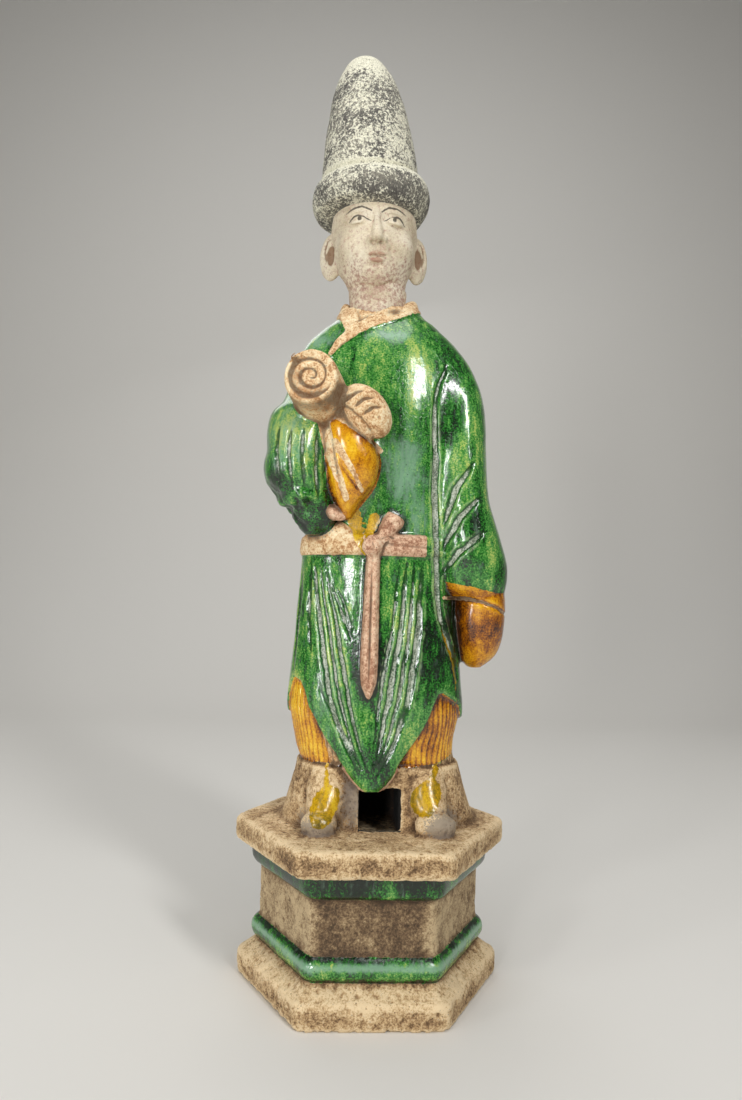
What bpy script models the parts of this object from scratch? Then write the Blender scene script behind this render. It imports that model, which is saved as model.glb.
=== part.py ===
"""Glazed pottery attendant on a six-sided plinth, with a head that lifts out of the collar.

The body is modelled as a potter builds it: plain hollow-moulded forms are luted together, cloth is laid on
as low relief, and folds are cut into it with a gouge. Lengths are in metres and +Z is up. The figure faces
-Y and the origin is the middle of the plinth's underside.
"""

import math

import bmesh
import bpy
import numpy as np
from mathutils import Matrix, Vector

# Plinth: radii run from the centre to a corner, heights are above the table
FOOT_RADIUS = 0.0621
FOOT_EDGE_HEIGHT = 0.0114
FOOT_SLOPE_HEIGHT = 0.0048
TORUS_RADIUS = 0.0560
TORUS_HEIGHT = 0.0095
WAIST_RADIUS = 0.0523
WAIST_HEIGHT = 0.0237
COVE_RADIUS = 0.0568
COVE_HEIGHT = 0.0108
SLAB_RADIUS = 0.0648
SLAB_THICKNESS = 0.0116
PLINTH_EDGE = 0.0024
PLINTH_CORNER = 0.0060

# Figure: its forms are shares of these two heights
BODY_HEIGHT = 0.2526
HEAD_HEIGHT = 0.1250

# Socket in the collar and the neck plug that drops into it
NECK_X = -0.0038
NECK_Y = 0.0005
PLUG_RISE = 0.0035
PLUG_TOP_RADIUS = 0.0142
PLUG_FOOT_RADIUS = 0.0120
PLUG_LENGTH = 0.0240
SOCKET_GAP = 0.0004
SOCKET_OVERRUN = 0.0105

# Hollow between the boots
HOLLOW_X = 0.0026
HOLLOW_WIDTH = 0.0186

# Fineness of the sculpted surfaces
BODY_VOXEL = 0.0014
HEAD_VOXEL = 0.0008
BODY_TRIANGLES = 6700
HEAD_TRIANGLES = 2100

# Heights that follow from the sizes above
WAIST_FOOT = FOOT_EDGE_HEIGHT + FOOT_SLOPE_HEIGHT + TORUS_HEIGHT
COVE_FOOT = WAIST_FOOT + WAIST_HEIGHT
SLAB_FOOT = COVE_FOOT + COVE_HEIGHT
SLAB_TOP = SLAB_FOOT + SLAB_THICKNESS
COLLAR_TOP = SLAB_TOP + BODY_HEIGHT

# The forms below are drawn in millimetres of a body 252.6 mm tall and a head 125 mm tall
BODY_MM = BODY_HEIGHT / 252.6
HEAD_MM = HEAD_HEIGHT / 125.0


def clear_scene():
    for obj in list(bpy.data.objects):
        bpy.data.objects.remove(obj)


def new_object(name, mesh):
    obj = bpy.data.objects.new(name, mesh)
    bpy.context.scene.collection.objects.link(obj)
    return obj


def smooth_rows(rows, steps):
    """Rows of numbers read off a smooth curve through the given rows."""
    rows = np.array(rows, float)
    slopes = np.gradient(rows, axis=0)
    out = []
    for i in range(len(rows) - 1):
        for t in np.linspace(0, 1, steps, endpoint=False):
            h = (2 * t**3 - 3 * t**2 + 1, t**3 - 2 * t**2 + t, 3 * t**2 - 2 * t**3, t**3 - t**2)
            out.append(h[0] * rows[i] + h[1] * slopes[i] + h[2] * rows[i + 1] + h[3] * slopes[i + 1])
    out.append(rows[-1])
    return np.array(out)


def skin_rings(name, rings):
    """A closed mesh over a stack of rings with the same number of points, the first ring the lowest."""
    bm = bmesh.new()
    loops = [[bm.verts.new(point) for point in ring] for ring in rings]
    count = len(loops[0])
    for low, high in zip(loops, loops[1:]):
        for i in range(count):
            j = (i + 1) % count
            bm.faces.new((low[i], low[j], high[j], high[i]))
    bm.faces.new(loops[0][::-1])
    bm.faces.new(loops[-1])
    bmesh.ops.recalc_face_normals(bm, faces=bm.faces)
    mesh = bpy.data.meshes.new(name)
    bm.to_mesh(mesh)
    bm.free()
    return new_object(name, mesh)


def oval_ring(left, right, front, back, squareness, around):
    """Points of a rounded oval between four sides, anticlockwise seen from above."""
    turn = np.linspace(0, 2 * math.pi, around, endpoint=False)
    c, s = np.cos(turn), np.sin(turn)
    power = 2 / squareness
    middle = (front + back) / 2
    x = (left + right) / 2 + (right - left) / 2 * np.sign(c) * np.abs(c) ** power
    y = middle + (back - front) / 2 * np.sign(s) * np.abs(s) ** power
    return x, y


def moulded_form(name, sections, unit, base, squareness=2.3, around=44, steps=4):
    """A form given by level slices: height, left, right, front and back, in millimetres."""
    rings = []
    for height, left, right, front, back in smooth_rows(sorted(sections), steps):
        x, y = oval_ring(left, right, front, back, squareness, around)
        rings.append(np.stack([x * unit, y * unit, np.full(around, base + height * unit)], axis=1))
    return skin_rings(name, rings)


def swept_form(name, stations, unit, base, around=24, steps=4):
    """A round form along a bent line: x, y, height and radius at each station, in millimetres."""
    rows = smooth_rows(stations, steps)
    centres = np.stack([rows[:, 0] * unit, rows[:, 1] * unit, base + rows[:, 2] * unit], axis=1)
    tangents = np.gradient(centres, axis=0)
    side = Vector((0.31, 0.17, 0.93))
    rings = []
    for centre, tangent, radius in zip(centres, tangents, (rows[:, 3] * unit).tolist()):
        along = Vector(tangent).normalized()
        u = along.cross(side).normalized()
        v = along.cross(u)
        side = u.cross(along)
        turn = np.linspace(0, 2 * math.pi, around, endpoint=False)
        rings.append([Vector(centre) + radius * (math.cos(a) * u + math.sin(a) * v) for a in turn])
    return skin_rings(name, rings)


def pebble(name, centre, radii, unit, base, turn=(0, 0, 0)):
    """An egg-shaped lump of clay with three half-lengths, turned by degrees about X, Y and Z."""
    bm = bmesh.new()
    bmesh.ops.create_uvsphere(bm, u_segments=28, v_segments=18, radius=1.0)
    place = Matrix.Translation((centre[0] * unit, centre[1] * unit, base + centre[2] * unit))
    for axis, degrees in zip("ZYX", turn[::-1]):
        place @= Matrix.Rotation(math.radians(degrees), 4, axis)
    place @= Matrix.Diagonal((*[r * unit for r in radii], 1.0))
    bmesh.ops.transform(bm, matrix=place, verts=bm.verts)
    mesh = bpy.data.meshes.new(name)
    bm.to_mesh(mesh)
    bm.free()
    return new_object(name, mesh)


def luted(name, forms, voxel, softening):
    """Joins overlapping forms into one skin, as clay pieces are luted, and softens the joins."""
    bm = bmesh.new()
    for form in forms:
        bm.from_mesh(form.data)
        bpy.data.objects.remove(form)
    mesh = bpy.data.meshes.new(name)
    bm.to_mesh(mesh)
    bm.free()
    obj = new_object(name, mesh)
    remesh = obj.modifiers.new("lute", "REMESH")
    remesh.mode = "VOXEL"
    remesh.voxel_size = voxel
    smooth = obj.modifiers.new("soften", "SMOOTH")
    smooth.factor = 0.5
    smooth.iterations = softening
    graph = bpy.context.evaluated_depsgraph_get()
    baked = bpy.data.meshes.new_from_object(obj.evaluated_get(graph))
    obj.modifiers.clear()
    obj.data = baked
    return obj


def hexagon_ring(radius, height, corner=PLINTH_CORNER, steps=3):
    """A level hexagon with rounded corners, one flat side facing -Y."""
    centre = radius - corner / math.cos(math.pi / 6)
    ring = []
    for k in range(6):
        for t in np.linspace(-math.pi / 6, math.pi / 6, steps):
            a = k * math.pi / 3
            x = centre * math.cos(a) + corner * math.cos(a + t)
            y = centre * math.sin(a) + corner * math.sin(a + t)
            ring.append((x, y, height))
    return ring


def plinth():
    """The stand: foot slab with a sloping top, torus, waist, cove and top slab."""
    edge = PLINTH_EDGE
    torus_foot = FOOT_EDGE_HEIGHT + FOOT_SLOPE_HEIGHT
    profile = [(FOOT_RADIUS - edge, 0), (FOOT_RADIUS, edge), (FOOT_RADIUS, FOOT_EDGE_HEIGHT - edge)]
    profile += [(FOOT_RADIUS - edge, FOOT_EDGE_HEIGHT), (TORUS_RADIUS, torus_foot - edge)]
    for t in np.linspace(0, math.pi, 7):
        bulge = (TORUS_RADIUS - WAIST_RADIUS) * math.sin(t)
        profile.append((WAIST_RADIUS + bulge, torus_foot + TORUS_HEIGHT * (1 - math.cos(t)) / 2))
    profile.append((WAIST_RADIUS, COVE_FOOT))
    for t in np.linspace(0, math.pi / 2, 4)[1:]:
        flare = (COVE_RADIUS - WAIST_RADIUS) * math.sin(t)
        profile.append((WAIST_RADIUS + flare, COVE_FOOT + COVE_HEIGHT * (1 - math.cos(t)) / 2))
    profile += [(COVE_RADIUS, SLAB_FOOT), (SLAB_RADIUS - edge, SLAB_FOOT), (SLAB_RADIUS, SLAB_FOOT + edge)]
    profile += [(SLAB_RADIUS, SLAB_TOP - edge), (SLAB_RADIUS - edge, SLAB_TOP)]
    return skin_rings("plinth", [hexagon_ring(radius, height) for radius, height in profile])


def tilted(obj, unit, base, low, high, slope_x, slope_y, slope_back):
    """Leans the top of a form: its height follows X and Y by three slopes, growing from low to high."""
    points = get_points(obj.data)
    x, y, h = points[:, 0], points[:, 1], (points[:, 2] - base) / unit
    share = ramp((h - low) / (high - low))
    lean = slope_x * x + np.where(y < 0, slope_y, slope_back) * y
    points[:, 2] += share * lean
    set_points(obj.data, points)
    return obj


def notched(obj, unit, base):
    """Dips the front of the collar to a soft point where the two lapels cross."""
    points = get_points(obj.data)
    x, y, h = points[:, 0] / unit, points[:, 1] / unit, (points[:, 2] - base) / unit
    dip = 4.0 * np.exp(-(((x + 8.4) / 6.0) ** 2)) * ramp((-4 - y) / 5) * ramp((h - 234) / 6)
    points[:, 2] -= dip * unit
    set_points(obj.data, points)
    return obj


def get_points(mesh):
    flat = np.empty(len(mesh.vertices) * 3)
    mesh.vertices.foreach_get("co", flat)
    return flat.reshape(-1, 3)


def set_points(mesh, points):
    mesh.vertices.foreach_set("co", points.ravel())
    mesh.update()


def get_normals(mesh):
    flat = np.empty(len(mesh.vertices) * 3)
    mesh.vertex_normals.foreach_get("vector", flat)
    return flat.reshape(-1, 3)


def ramp(t):
    """Rises smoothly from 0 to 1 as t goes from 0 to 1."""
    t = np.clip(t, 0, 1)
    return t * t * (3 - 2 * t)


def near_line(u, v, path):
    """For points (u, v): distance to a bent line, side of it, and share of its length passed."""
    path = np.array(path, float)
    lengths = np.hypot(*(path[1:] - path[:-1]).T)
    passed = np.concatenate([[0], np.cumsum(lengths)])
    best = np.full(len(u), 1e9)
    side = np.ones(len(u))
    share = np.zeros(len(u))
    for (a, b), (c, d), length, start in zip(path[:-1], path[1:], lengths, passed):
        t = np.clip(((u - a) * (c - a) + (v - b) * (d - b)) / length**2, 0, 1)
        away = np.hypot(u - a - t * (c - a), v - b - t * (d - b))
        nearer = away < best
        best = np.where(nearer, away, best)
        side = np.where(nearer, np.sign((c - a) * (v - b) - (d - b) * (u - a)), side)
        share = np.where(nearer, (start + t * length) / passed[-1], share)
    return best, side, share


def gouge(u, v, path, width, depth):
    """Depth of a lens-shaped cut along a bent line, with a low lip pushed up on both sides."""
    away, _, share = near_line(u, v, path)
    lens = np.sin(math.pi * np.clip(share, 0.02, 0.98)) ** 0.6
    half = width * (0.45 + 0.55 * lens) / 2
    cut = np.exp(-((away / half) ** 2))
    lip = 0.3 * np.exp(-(((away - 1.9 * half) / half) ** 2))
    return depth * lens * (lip - cut)


def fold_family(first, last, count):
    """Fold lines spaced evenly between two bent lines with the same number of points."""
    first, last = np.array(first, float), np.array(last, float)
    return [first + (last - first) * t for t in np.linspace(0, 1, count)]


# Hem of the green outer robe round the body: degrees from the front, height in millimetres
HEM = [(-180, 47), (-130, 49), (-96, 48), (-83, 58), (-67, 66.3), (-56, 65), (-50, 60.5), (-46, 53.6)]
HEM += [(-40, 48), (-34, 40.1), (-26, 32.8), (-19, 27.2), (-12.5, 21.5), (-2.5, 15.6), (4.5, 18.7)]
HEM += [(10.7, 23.1), (15.6, 29.8), (22, 35.6), (28.6, 42.3), (33.5, 49), (36.6, 55), (41, 60.4)]
HEM += [(45, 61), (52, 58.7), (65, 55.1), (79, 48.2), (90, 46.5), (130, 48.5), (180, 47)]

# Half-lengths of the oval that the hem's angles are taken round, and the mean radius of its front
ROBE_HALF_WIDTH = 41
ROBE_HALF_DEPTH = 28
ROBE_RADIUS = 36
PLEAT_PITCH = 2.7

# Lines of cloth and clay on the front, as X and height in millimetres
RIGHT_LAPEL = [(16, 249), (6, 242), (-5.5, 235.8), (-14, 230.3), (-22, 223.2), (-26, 217.5)]
LEFT_LAPEL = [(-22.5, 249.5), (-19.6, 243), (-17.5, 236.5), (-16.5, 231)]
SLEEVE_SEAM = [(21.7, 195.9), (23, 184), (24.4, 164.9), (25.4, 141.3), (26.3, 122.5), (27.2, 103.8)]
SLEEVE_SEAM += [(28.8, 94.5), (32.3, 85.4), (36.3, 76.2), (38.3, 67)]
APRON_LEFT = [(-30.9, 121), (-28.9, 102.2), (-25.6, 84.5), (-20.1, 66.8), (-15.3, 55.9), (-8.9, 34)]
APRON_LEFT_INNER = [(-25.5, 112), (-24, 100.5), (-20.6, 86), (-16.2, 72), (-12.3, 58.2), (-7.5, 40)]
APRON_RIGHT = [(19.6, 121.8), (18.5, 94.5), (16.6, 76.4), (13.9, 58.5), (8.5, 42.8), (2, 31.6)]
APRON_RIGHT_INNER = [(9.8, 119), (7.4, 99), (6.2, 86), (4.4, 72), (2, 60), (-0.6, 46)]
ARM_FOLDS = [(42, 168), (34.5, 156), (29, 139)], [(48, 136), (36, 126), (28.5, 116)]
SLEEVE_FOLDS = [(-47, 179), (-48.5, 168), (-47, 154)], [(-30, 177), (-30.5, 160), (-29, 147)]
FINGERS = ((-17.5, 189.5), (-10.8, 193.5)), ((-13.2, 186.2), (-6.5, 190)), ((-8.5, 182.5), (-1.5, 185.6))

# The spiral on the end of the rolled bundle: its middle as X and height, and the step between its turns
ROLL_MIDDLE = (-34.1, 198.5)
ROLL_PITCH = 4.2

# Where the eyes and ears stand on the head, in millimetres, and how far the eyes turn outward, in degrees
FACE_X = -6
EYE_APART = 8.4
EYE_TURN = 16
EAR_LEFT = -27.4
EAR_RIGHT = 15.4


def body_forms(around, steps):
    """The hollow-moulded forms of the robed figure, from the block behind the boots to the collar."""
    u, b = BODY_MM, SLAB_TOP

    def level(name, sections, squareness=2.3):
        return moulded_form(name, sections, u, b, squareness, around, steps)

    def bent(name, stations):
        return swept_form(name, stations, u, b, around // 2, steps)

    forms = []
    block = [(-4, -44, 51.5, -26, 36), (5, -41.5, 47.8, -26, 34), (15, -38.8, 44.4, -25, 31)]
    block += [(26, -36, 41.4, -24, 28), (36, -35, 39, -23, 26)]
    forms.append(level("block", block, 2.6))
    for toe, lean, half_width in ((-24.4, -1, 8.2), (27.2, 1, 9.4)):
        heel = toe - 5.4 * lean
        boot = [(heel, -4, 34, 11), (heel + lean, -12.5, 23, 10.6), (heel + 2.2 * lean, -20, 12.8, 9.6)]
        boot += [(toe - 1.2 * lean, -26, 7, 7.4), (toe - 0.8 * lean, -29, 4.4, 5.4)]
        forms.append(bent("boot", boot))
        forms.append(pebble("toe", (toe, -30.5, 4), (half_width, 6.8, 6), u, b))
    skirt = [(27.6, -35.5, 38.5, -25, 25), (30.5, -37.6, 39.8, -26.7, 26.7)]
    skirt += [(38.6, -39.5, 40.4, -27.3, 27.5), (44, -40.6, 41.6, -27.8, 28)]
    skirt += [(52, -41.8, 42.8, -28.2, 28.5), (67, -40.9, 41.5, -28.4, 28.5)]
    skirt += [(82.5, -39.5, 40, -28.4, 28.3), (97, -38.6, 38.5, -28.2, 27.8)]
    skirt += [(116, -37.3, 36.5, -27.8, 26.5), (125, -36.6, 35.5, -27.5, 26), (133, -35.5, 35, -27, 25.5)]
    forms.append(level("skirt", skirt))
    tongue = [(15.6, -3.4, 0.8, -27.6, -21), (17.2, -5.6, 2.6, -28.6, -20), (20, -8.4, 5.4, -29, -19)]
    tongue += [(24, -12, 8.6, -29.2, -18), (30, -16.4, 12, -29.3, -17), (38, -19, 15.5, -29, -15)]
    tongue += [(48, -20, 17, -28.5, -13), (60, -19, 16, -27.6, -12)]
    forms.append(level("tongue", tongue, 3.0))
    torso = [(127, -35, 34.5, -26.5, 25), (141.6, -35, 35, -26.8, 25), (160, -35.5, 36, -28, 25)]
    torso += [(180, -37, 37, -29, 26), (199.6, -40, 40, -28.5, 27), (214.6, -41.5, 41, -26, 26.5)]
    torso += [(226.2, -40, 38.5, -22.5, 25), (232.6, -34.5, 33, -19.5, 23), (237.6, -27.5, 28, -16.5, 20)]
    torso += [(241.6, -22.5, 21.5, -14.5, 17.5), (246, -20, 17.5, -13, 15)]
    forms.append(level("torso", torso))
    belt = [(123.4, -36, 35, -27, 25), (124.4, -37.8, 36.8, -29.4, 27.7), (128, -38, 37, -29.8, 28)]
    belt += [(132, -37.4, 36.8, -29.4, 27.6), (133, -35.5, 35, -26.5, 25)]
    forms.append(level("belt", belt))
    sleeve = [(231, 12, 33, -12, 14), (222, 16, 41.5, -17.5, 18), (209.6, 19, 47.2, -21.5, 20)]
    sleeve += [(194, 21.5, 50.6, -24.5, 21), (180, 23, 50.9, -26, 21), (165, 24, 51.5, -27, 21)]
    sleeve += [(151.6, 24.8, 52.8, -27.5, 21), (138, 25.5, 57.2, -27.8, 21), (125.6, 26.2, 60.9, -27.5, 20)]
    sleeve += [(117.6, 27, 62.3, -26.5, 19), (110, 29, 61.7, -25, 17), (105.5, 33, 60, -22, 14)]
    forms.append(level("hanging sleeve", sleeve))
    cuff = [(114, 36, 60, -20, 13), (106, 37, 61.4, -22.5, 13.5), (98.8, 37, 61.4, -22.5, 13)]
    cuff += [(91, 37.5, 61, -21.5, 12), (85, 38.5, 60.1, -19.5, 10.5), (79.2, 40, 58.2, -16, 8)]
    cuff += [(75.2, 41.5, 54.9, -13, 5), (72, 44.5, 50.5, -9.5, 1)]
    forms.append(level("hanging cuff", cuff))
    raised = [(230, -36, -14, -11, 12), (221.6, -42, -14, -16, 14), (209.6, -45, -15, -21, 14)]
    raised += [(196, -48, -17, -29, 13), (188.5, -53.4, -19, -35, 12), (179.6, -54.6, -21, -39, 10)]
    raised += [(170.6, -54.2, -22.5, -41, 9), (163.6, -55.4, -23, -41.5, 8), (157, -54.2, -22.5, -40.5, 6)]
    raised += [(150.6, -49.5, -21.5, -38, 3), (144.4, -44, -20.5, -35, -1), (139, -39.5, -20, -31.5, -6)]
    raised += [(134.6, -36.6, -21, -29, -10), (132, -35, -24, -26, -14)]
    forms.append(level("raised sleeve", raised))
    inner = [(186.6, -24, -13, -39, -24), (180, -27, -9, -41.5, -22), (173.6, -27.6, -5.5, -42.8, -20)]
    inner += [(166.6, -27, -2.4, -42.6, -20), (160, -26, -2.8, -41.5, -20), (153.6, -25, -5, -40, -20)]
    inner += [(147.6, -22, -9.5, -37.5, -21), (142.6, -19, -13, -34, -22), (139.6, -17, -14.5, -31, -24)]
    forms.append(level("inner sleeve", inner))
    forms.append(pebble("hand", (-8.8, -40.5, 186.2), (13.8, 8.6, 9.2), u, b, (0, 51, 0)))
    roll = [(-34.2, -50.5, 198.6, 10.9), (-33.9, -49.3, 198.4, 11.9), (-31.8, -42, 196, 12.3)]
    roll += [(-28.4, -32, 192, 12.2), (-25, -22, 188, 11.5), (-22, -12, 184, 11)]
    forms.append(bent("roll", roll))
    sash = [(60.4, -4.6, -3.2, -30.6, -25), (63.6, -7, -1.6, -31.4, -25), (80, -7.6, -0.8, -31.6, -25)]
    sash += [(104.6, -6.8, -1, -31.4, -25), (125, -6.2, -1, -31.2, -25)]
    forms.append(level("sash", sash, 3.4))
    forms.append(pebble("knot", (-4.4, -31.4, 127.6), (4.4, 3.2, 5.2), u, b, (0, 25, 0)))
    loop = [(-1.5, -28.4, 127.5, 3.4), (1.2, -28.6, 131.5, 3.3), (3, -28.4, 135.5, 3.5)]
    loop += [(5.2, -28, 139, 4.4), (6.4, -27.6, 141.2, 3.9)]
    forms.append(bent("knot end", loop))
    flap = [(-27, -29.5, 144.6, 1.6), (-23.5, -31, 142.4, 3)]
    flap += [(-19.5, -31.5, 140.2, 2.4), (-17, -31, 139, 1.4)]
    forms.append(bent("flap", flap))
    forms.append(pebble("belt end", (-21, -23.6, 130.6), (8.2, 4, 7.4), u, b, (0, 0, -20)))
    collar = [(236, -26, 21, -17, 18), (241, -24, 18.5, -16.2, 17), (246.5, -22, 16.4, -15.4, 16)]
    collar += [(249.8, -21, 15.2, -14.6, 15.4), (251.2, -19.8, 14, -13.6, 14.4)]
    stand = level("collar", collar)
    forms.append(notched(tilted(stand, u, b, 238, 250, 0.09, 0.62, 0.25), u, b))
    return forms


def body_relief(points, normals):
    """How far each point of the body moves outward, in millimetres, for hems, lapels and gouged folds."""
    x, y = points[:, 0] / BODY_MM, points[:, 1] / BODY_MM
    h = (points[:, 2] - SLAB_TOP) / BODY_MM
    front = ramp((0.25 - normals[:, 1]) / 0.35)
    back = ramp((normals[:, 1] - 0.1) / 0.4)
    out = np.zeros(len(x))
    arc = math.radians(ROBE_RADIUS)
    angle = np.degrees(np.arctan2(x / ROBE_HALF_WIDTH, -y / ROBE_HALF_DEPTH))
    away, side, _ = near_line(angle * arc, h, [(a * arc, height) for a, height in HEM])
    on_robe = ramp((h - 26) / 2) * ramp((72 - h) / 3) * (np.abs(x) < 44) * (y > -29.5)
    out -= 1.7 * ramp(0.5 - away * side / 1.6) * on_robe
    under_robe = on_robe * ramp(-away * side / 2)
    out -= 0.55 * under_robe * np.maximum(0, np.cos(angle * arc * 2 * math.pi / PLEAT_PITCH)) ** 2
    for lapel, width, narrowing in ((RIGHT_LAPEL, 8.6, 0.75), (LEFT_LAPEL, 9, 0.3)):
        away, _, share = near_line(x, h, lapel)
        half = width * (1 - narrowing * share**2) / 2
        out += ramp(0.5 + (half - away) / 1.2) * front * (y < 2)
    out += gouge(x, h, SLEEVE_SEAM, 3.4, 1.9) * front
    apron = (h < 121) * (h > 22) * (y < -18) * front * (x < 24)
    for line in fold_family(APRON_LEFT, APRON_LEFT_INNER, 3):
        out += gouge(x, h, line, 2.9, 1.25) * apron
    for line in fold_family(APRON_RIGHT, APRON_RIGHT_INNER, 4):
        out += gouge(x, h, line, 2.7, 1.25) * apron
    short_fold = [(-22.4, 111.4), (-18, 98.1), (-11.7, 84.8)]
    low_fold = [(-25.8, 62), (-18.7, 49), (-11.6, 38), (-7.5, 30)]
    for line in (short_fold, low_fold):
        out += gouge(x, h, line, 2.8, 1.2) * apron
    out += gouge(x, h, [(-4.2, 110), (-4.2, 80), (-4, 61)], 1.4, 0.7) * (y < -30.6) * front
    right_arm = (x > 26) * front * (h > 108)
    for line in fold_family(*ARM_FOLDS, 3):
        out += gouge(x, h, line, 3.6, 1.5) * right_arm
    left_arm = (x < -22) * (y < -12) * front * (h < 184)
    for line in fold_family(*SLEEVE_FOLDS, 4):
        out += gouge(x, h, line, 2.8, 1.3) * left_arm
    wrist = (y < -30) * front
    out += gouge(x, h, [(-25.5, 180), (-23.5, 166), (-19, 148)], 1.8, 0.9) * wrist
    out += gouge(x, h, [(-19.5, 188), (-11.5, 181), (-4, 172.5)], 2.0, 1.2) * wrist
    for finger in FINGERS:
        out += gouge(x, h, finger, 1.8, 1.4) * (y < -38) * front
    out += rolled_end(x, y, h) * (y < -44)
    cuff = (x > 35) * (h < 112) * (h > 70)
    out += gouge(y, h, [(-40, 103.5), (0, 104.5), (40, 101)], 2.0, 1.3) * cuff
    back_folds = fold_family([(-26, 116), (-29, 90), (-33, 58)], [(26, 116), (29, 90), (33, 58)], 7)
    for line in back_folds:
        out += gouge(x, h, line, 5.0, 1.1) * back * (h < 120)
    for line in fold_family([(-24, 222), (-16, 190), (-6, 140)], [(20, 222), (13, 190), (5, 140)], 4):
        out += gouge(x, h, line, 5.5, 1.0) * back * (h > 134)
    return out * BODY_MM


def rolled_end(x, y, h):
    """The spiral seen on the end of the rolled bundle."""
    east, up = x - ROLL_MIDDLE[0], h - ROLL_MIDDLE[1]
    reach = np.hypot(east, up)
    turn = np.arctan2(up, east) / (2 * math.pi)
    winding = (reach / ROLL_PITCH - turn) % 1.0
    groove = np.exp(-(((winding - 0.5) * ROLL_PITCH / 0.75) ** 2))
    return -groove * ramp(10.2 - reach) * ramp(reach / 2)


def head_forms(around, steps):
    """The forms of the head, its ears, the rolled brim and the tall hat."""
    u, b = HEAD_MM, COLLAR_TOP

    def level(name, sections, squareness=2.1):
        return moulded_form(name, sections, u, b, squareness, around, steps)

    def lump(name, centre, radii, turn=(0, 0, 0)):
        return pebble(name, centre, radii, u, b, turn)

    forms = []
    neck = [(-1.5, -17.6, 10, -12.6, 13.6), (3, -17.9, 10.1, -13, 13.8), (6, -18.8, 10, -13.6, 14.6)]
    neck += [(10, -20.4, 10, -14, 15.6), (16, -22.4, 10.2, -12, 17), (24, -23.4, 10, -10, 18.5)]
    forms.append(level("neck", neck))
    forms.append(lump("skull", (-6.3, 1.5, 33), (21.6, 22.6, 25)))
    forms.append(lump("face", (-5.9, -4.4, 20.0), (19.5, 18.4, 20.0)))
    forms.append(lump("chin", (-5.7, -14.4, 7.2), (8.0, 5.8, 5.4)))
    bridge = [(-5.9, -19.4, 35, 2.2), (-5.9, -21.4, 30, 2.1), (-5.8, -23, 25.5, 2.3), (-5.8, -24, 22, 2.7)]
    forms.append(swept_form("nose", bridge, u, b, 16, steps))
    forms.append(lump("nose tip", (-5.8, -24.3, 20.9), (2.8, 3.0, 2.4)))
    forms.append(lump("upper lip", (-5.7, -21.0, 14.4), (5.6, 2.2, 1.5)))
    forms.append(lump("lower lip", (-5.7, -19.9, 11.4), (4.8, 2.4, 1.7)))
    for side in (-1, 1):
        forms.append(lump("cheek", (-5.9 + side * 9.0, -13.0, 21.0), (10, 7.4, 10)))
        forms.append(lump("jaw", (-6.2 + side * 7.5, -5, 12), (8.6, 12, 8)))
        forms.append(lump("nostril", (-5.8 + side * 3.3, -22.3, 20.6), (2.0, 2.4, 1.8)))
        eye_x = FACE_X + side * EYE_APART
        forms.append(lump("brow", (eye_x, -17.4, 36), (7, 2.8, 1.7), (0, side * 6, side * EYE_TURN)))
        forms.append(lump("eye", (eye_x, -17.3, 30.9), (4.9, 3.4, 2.7), (0, side * 4, side * EYE_TURN)))
        ear_x = EAR_LEFT if side < 0 else EAR_RIGHT
        forms.append(lump("ear", (ear_x, 2.0, 21.6), (2.7, 7.6, 11.8), (0, side * 3, -side * 48)))
    hat = [(53, -33.8, 15.8, -24.5, 26), (59.6, -33.4, 15, -24.2, 25.5), (65.9, -33.2, 14.5, -23.7, 25)]
    hat += [(73.8, -32.7, 13.2, -23, 24), (81.6, -32.2, 11.5, -22, 22.5), (89.6, -31, 9.5, -20.5, 20.8)]
    hat += [(97.5, -30.1, 7.4, -18.8, 19), (104.5, -28.6, 5, -16.8, 16.8), (111, -26.6, 2.2, -14.2, 14.2)]
    hat += [(116, -24.6, -1, -11.6, 11.8), (119.5, -22.8, -3.2, -9.4, 9.6), (122.2, -20.4, -5.4, -7, 7.4)]
    hat += [(124, -17.5, -8.4, -4.2, 4.6), (124.8, -15.2, -11, -2, 2.4), (125, -13.6, -12.6, -0.4, 0.6)]
    forms.append(level("hat", hat))
    brim = [(40.2, -30, 14, -20.5, 22.5), (41, -32.6, 16.4, -23.2, 25.2), (43, -35, 18.6, -25.6, 27.6)]
    brim += [(46, -37, 20.4, -27.4, 29.4), (49.5, -37.9, 21.2, -28.4, 30.4), (53, -37.5, 20.8, -28, 30)]
    brim += [(56, -36.4, 19.6, -26.8, 28.8), (58, -34.6, 17.6, -25, 27), (59, -31.5, 14, -22, 24)]
    forms.append(tilted(level("brim", brim), u, b, 40, 44, 0.05, 0.03, 0.03))
    return forms


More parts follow.
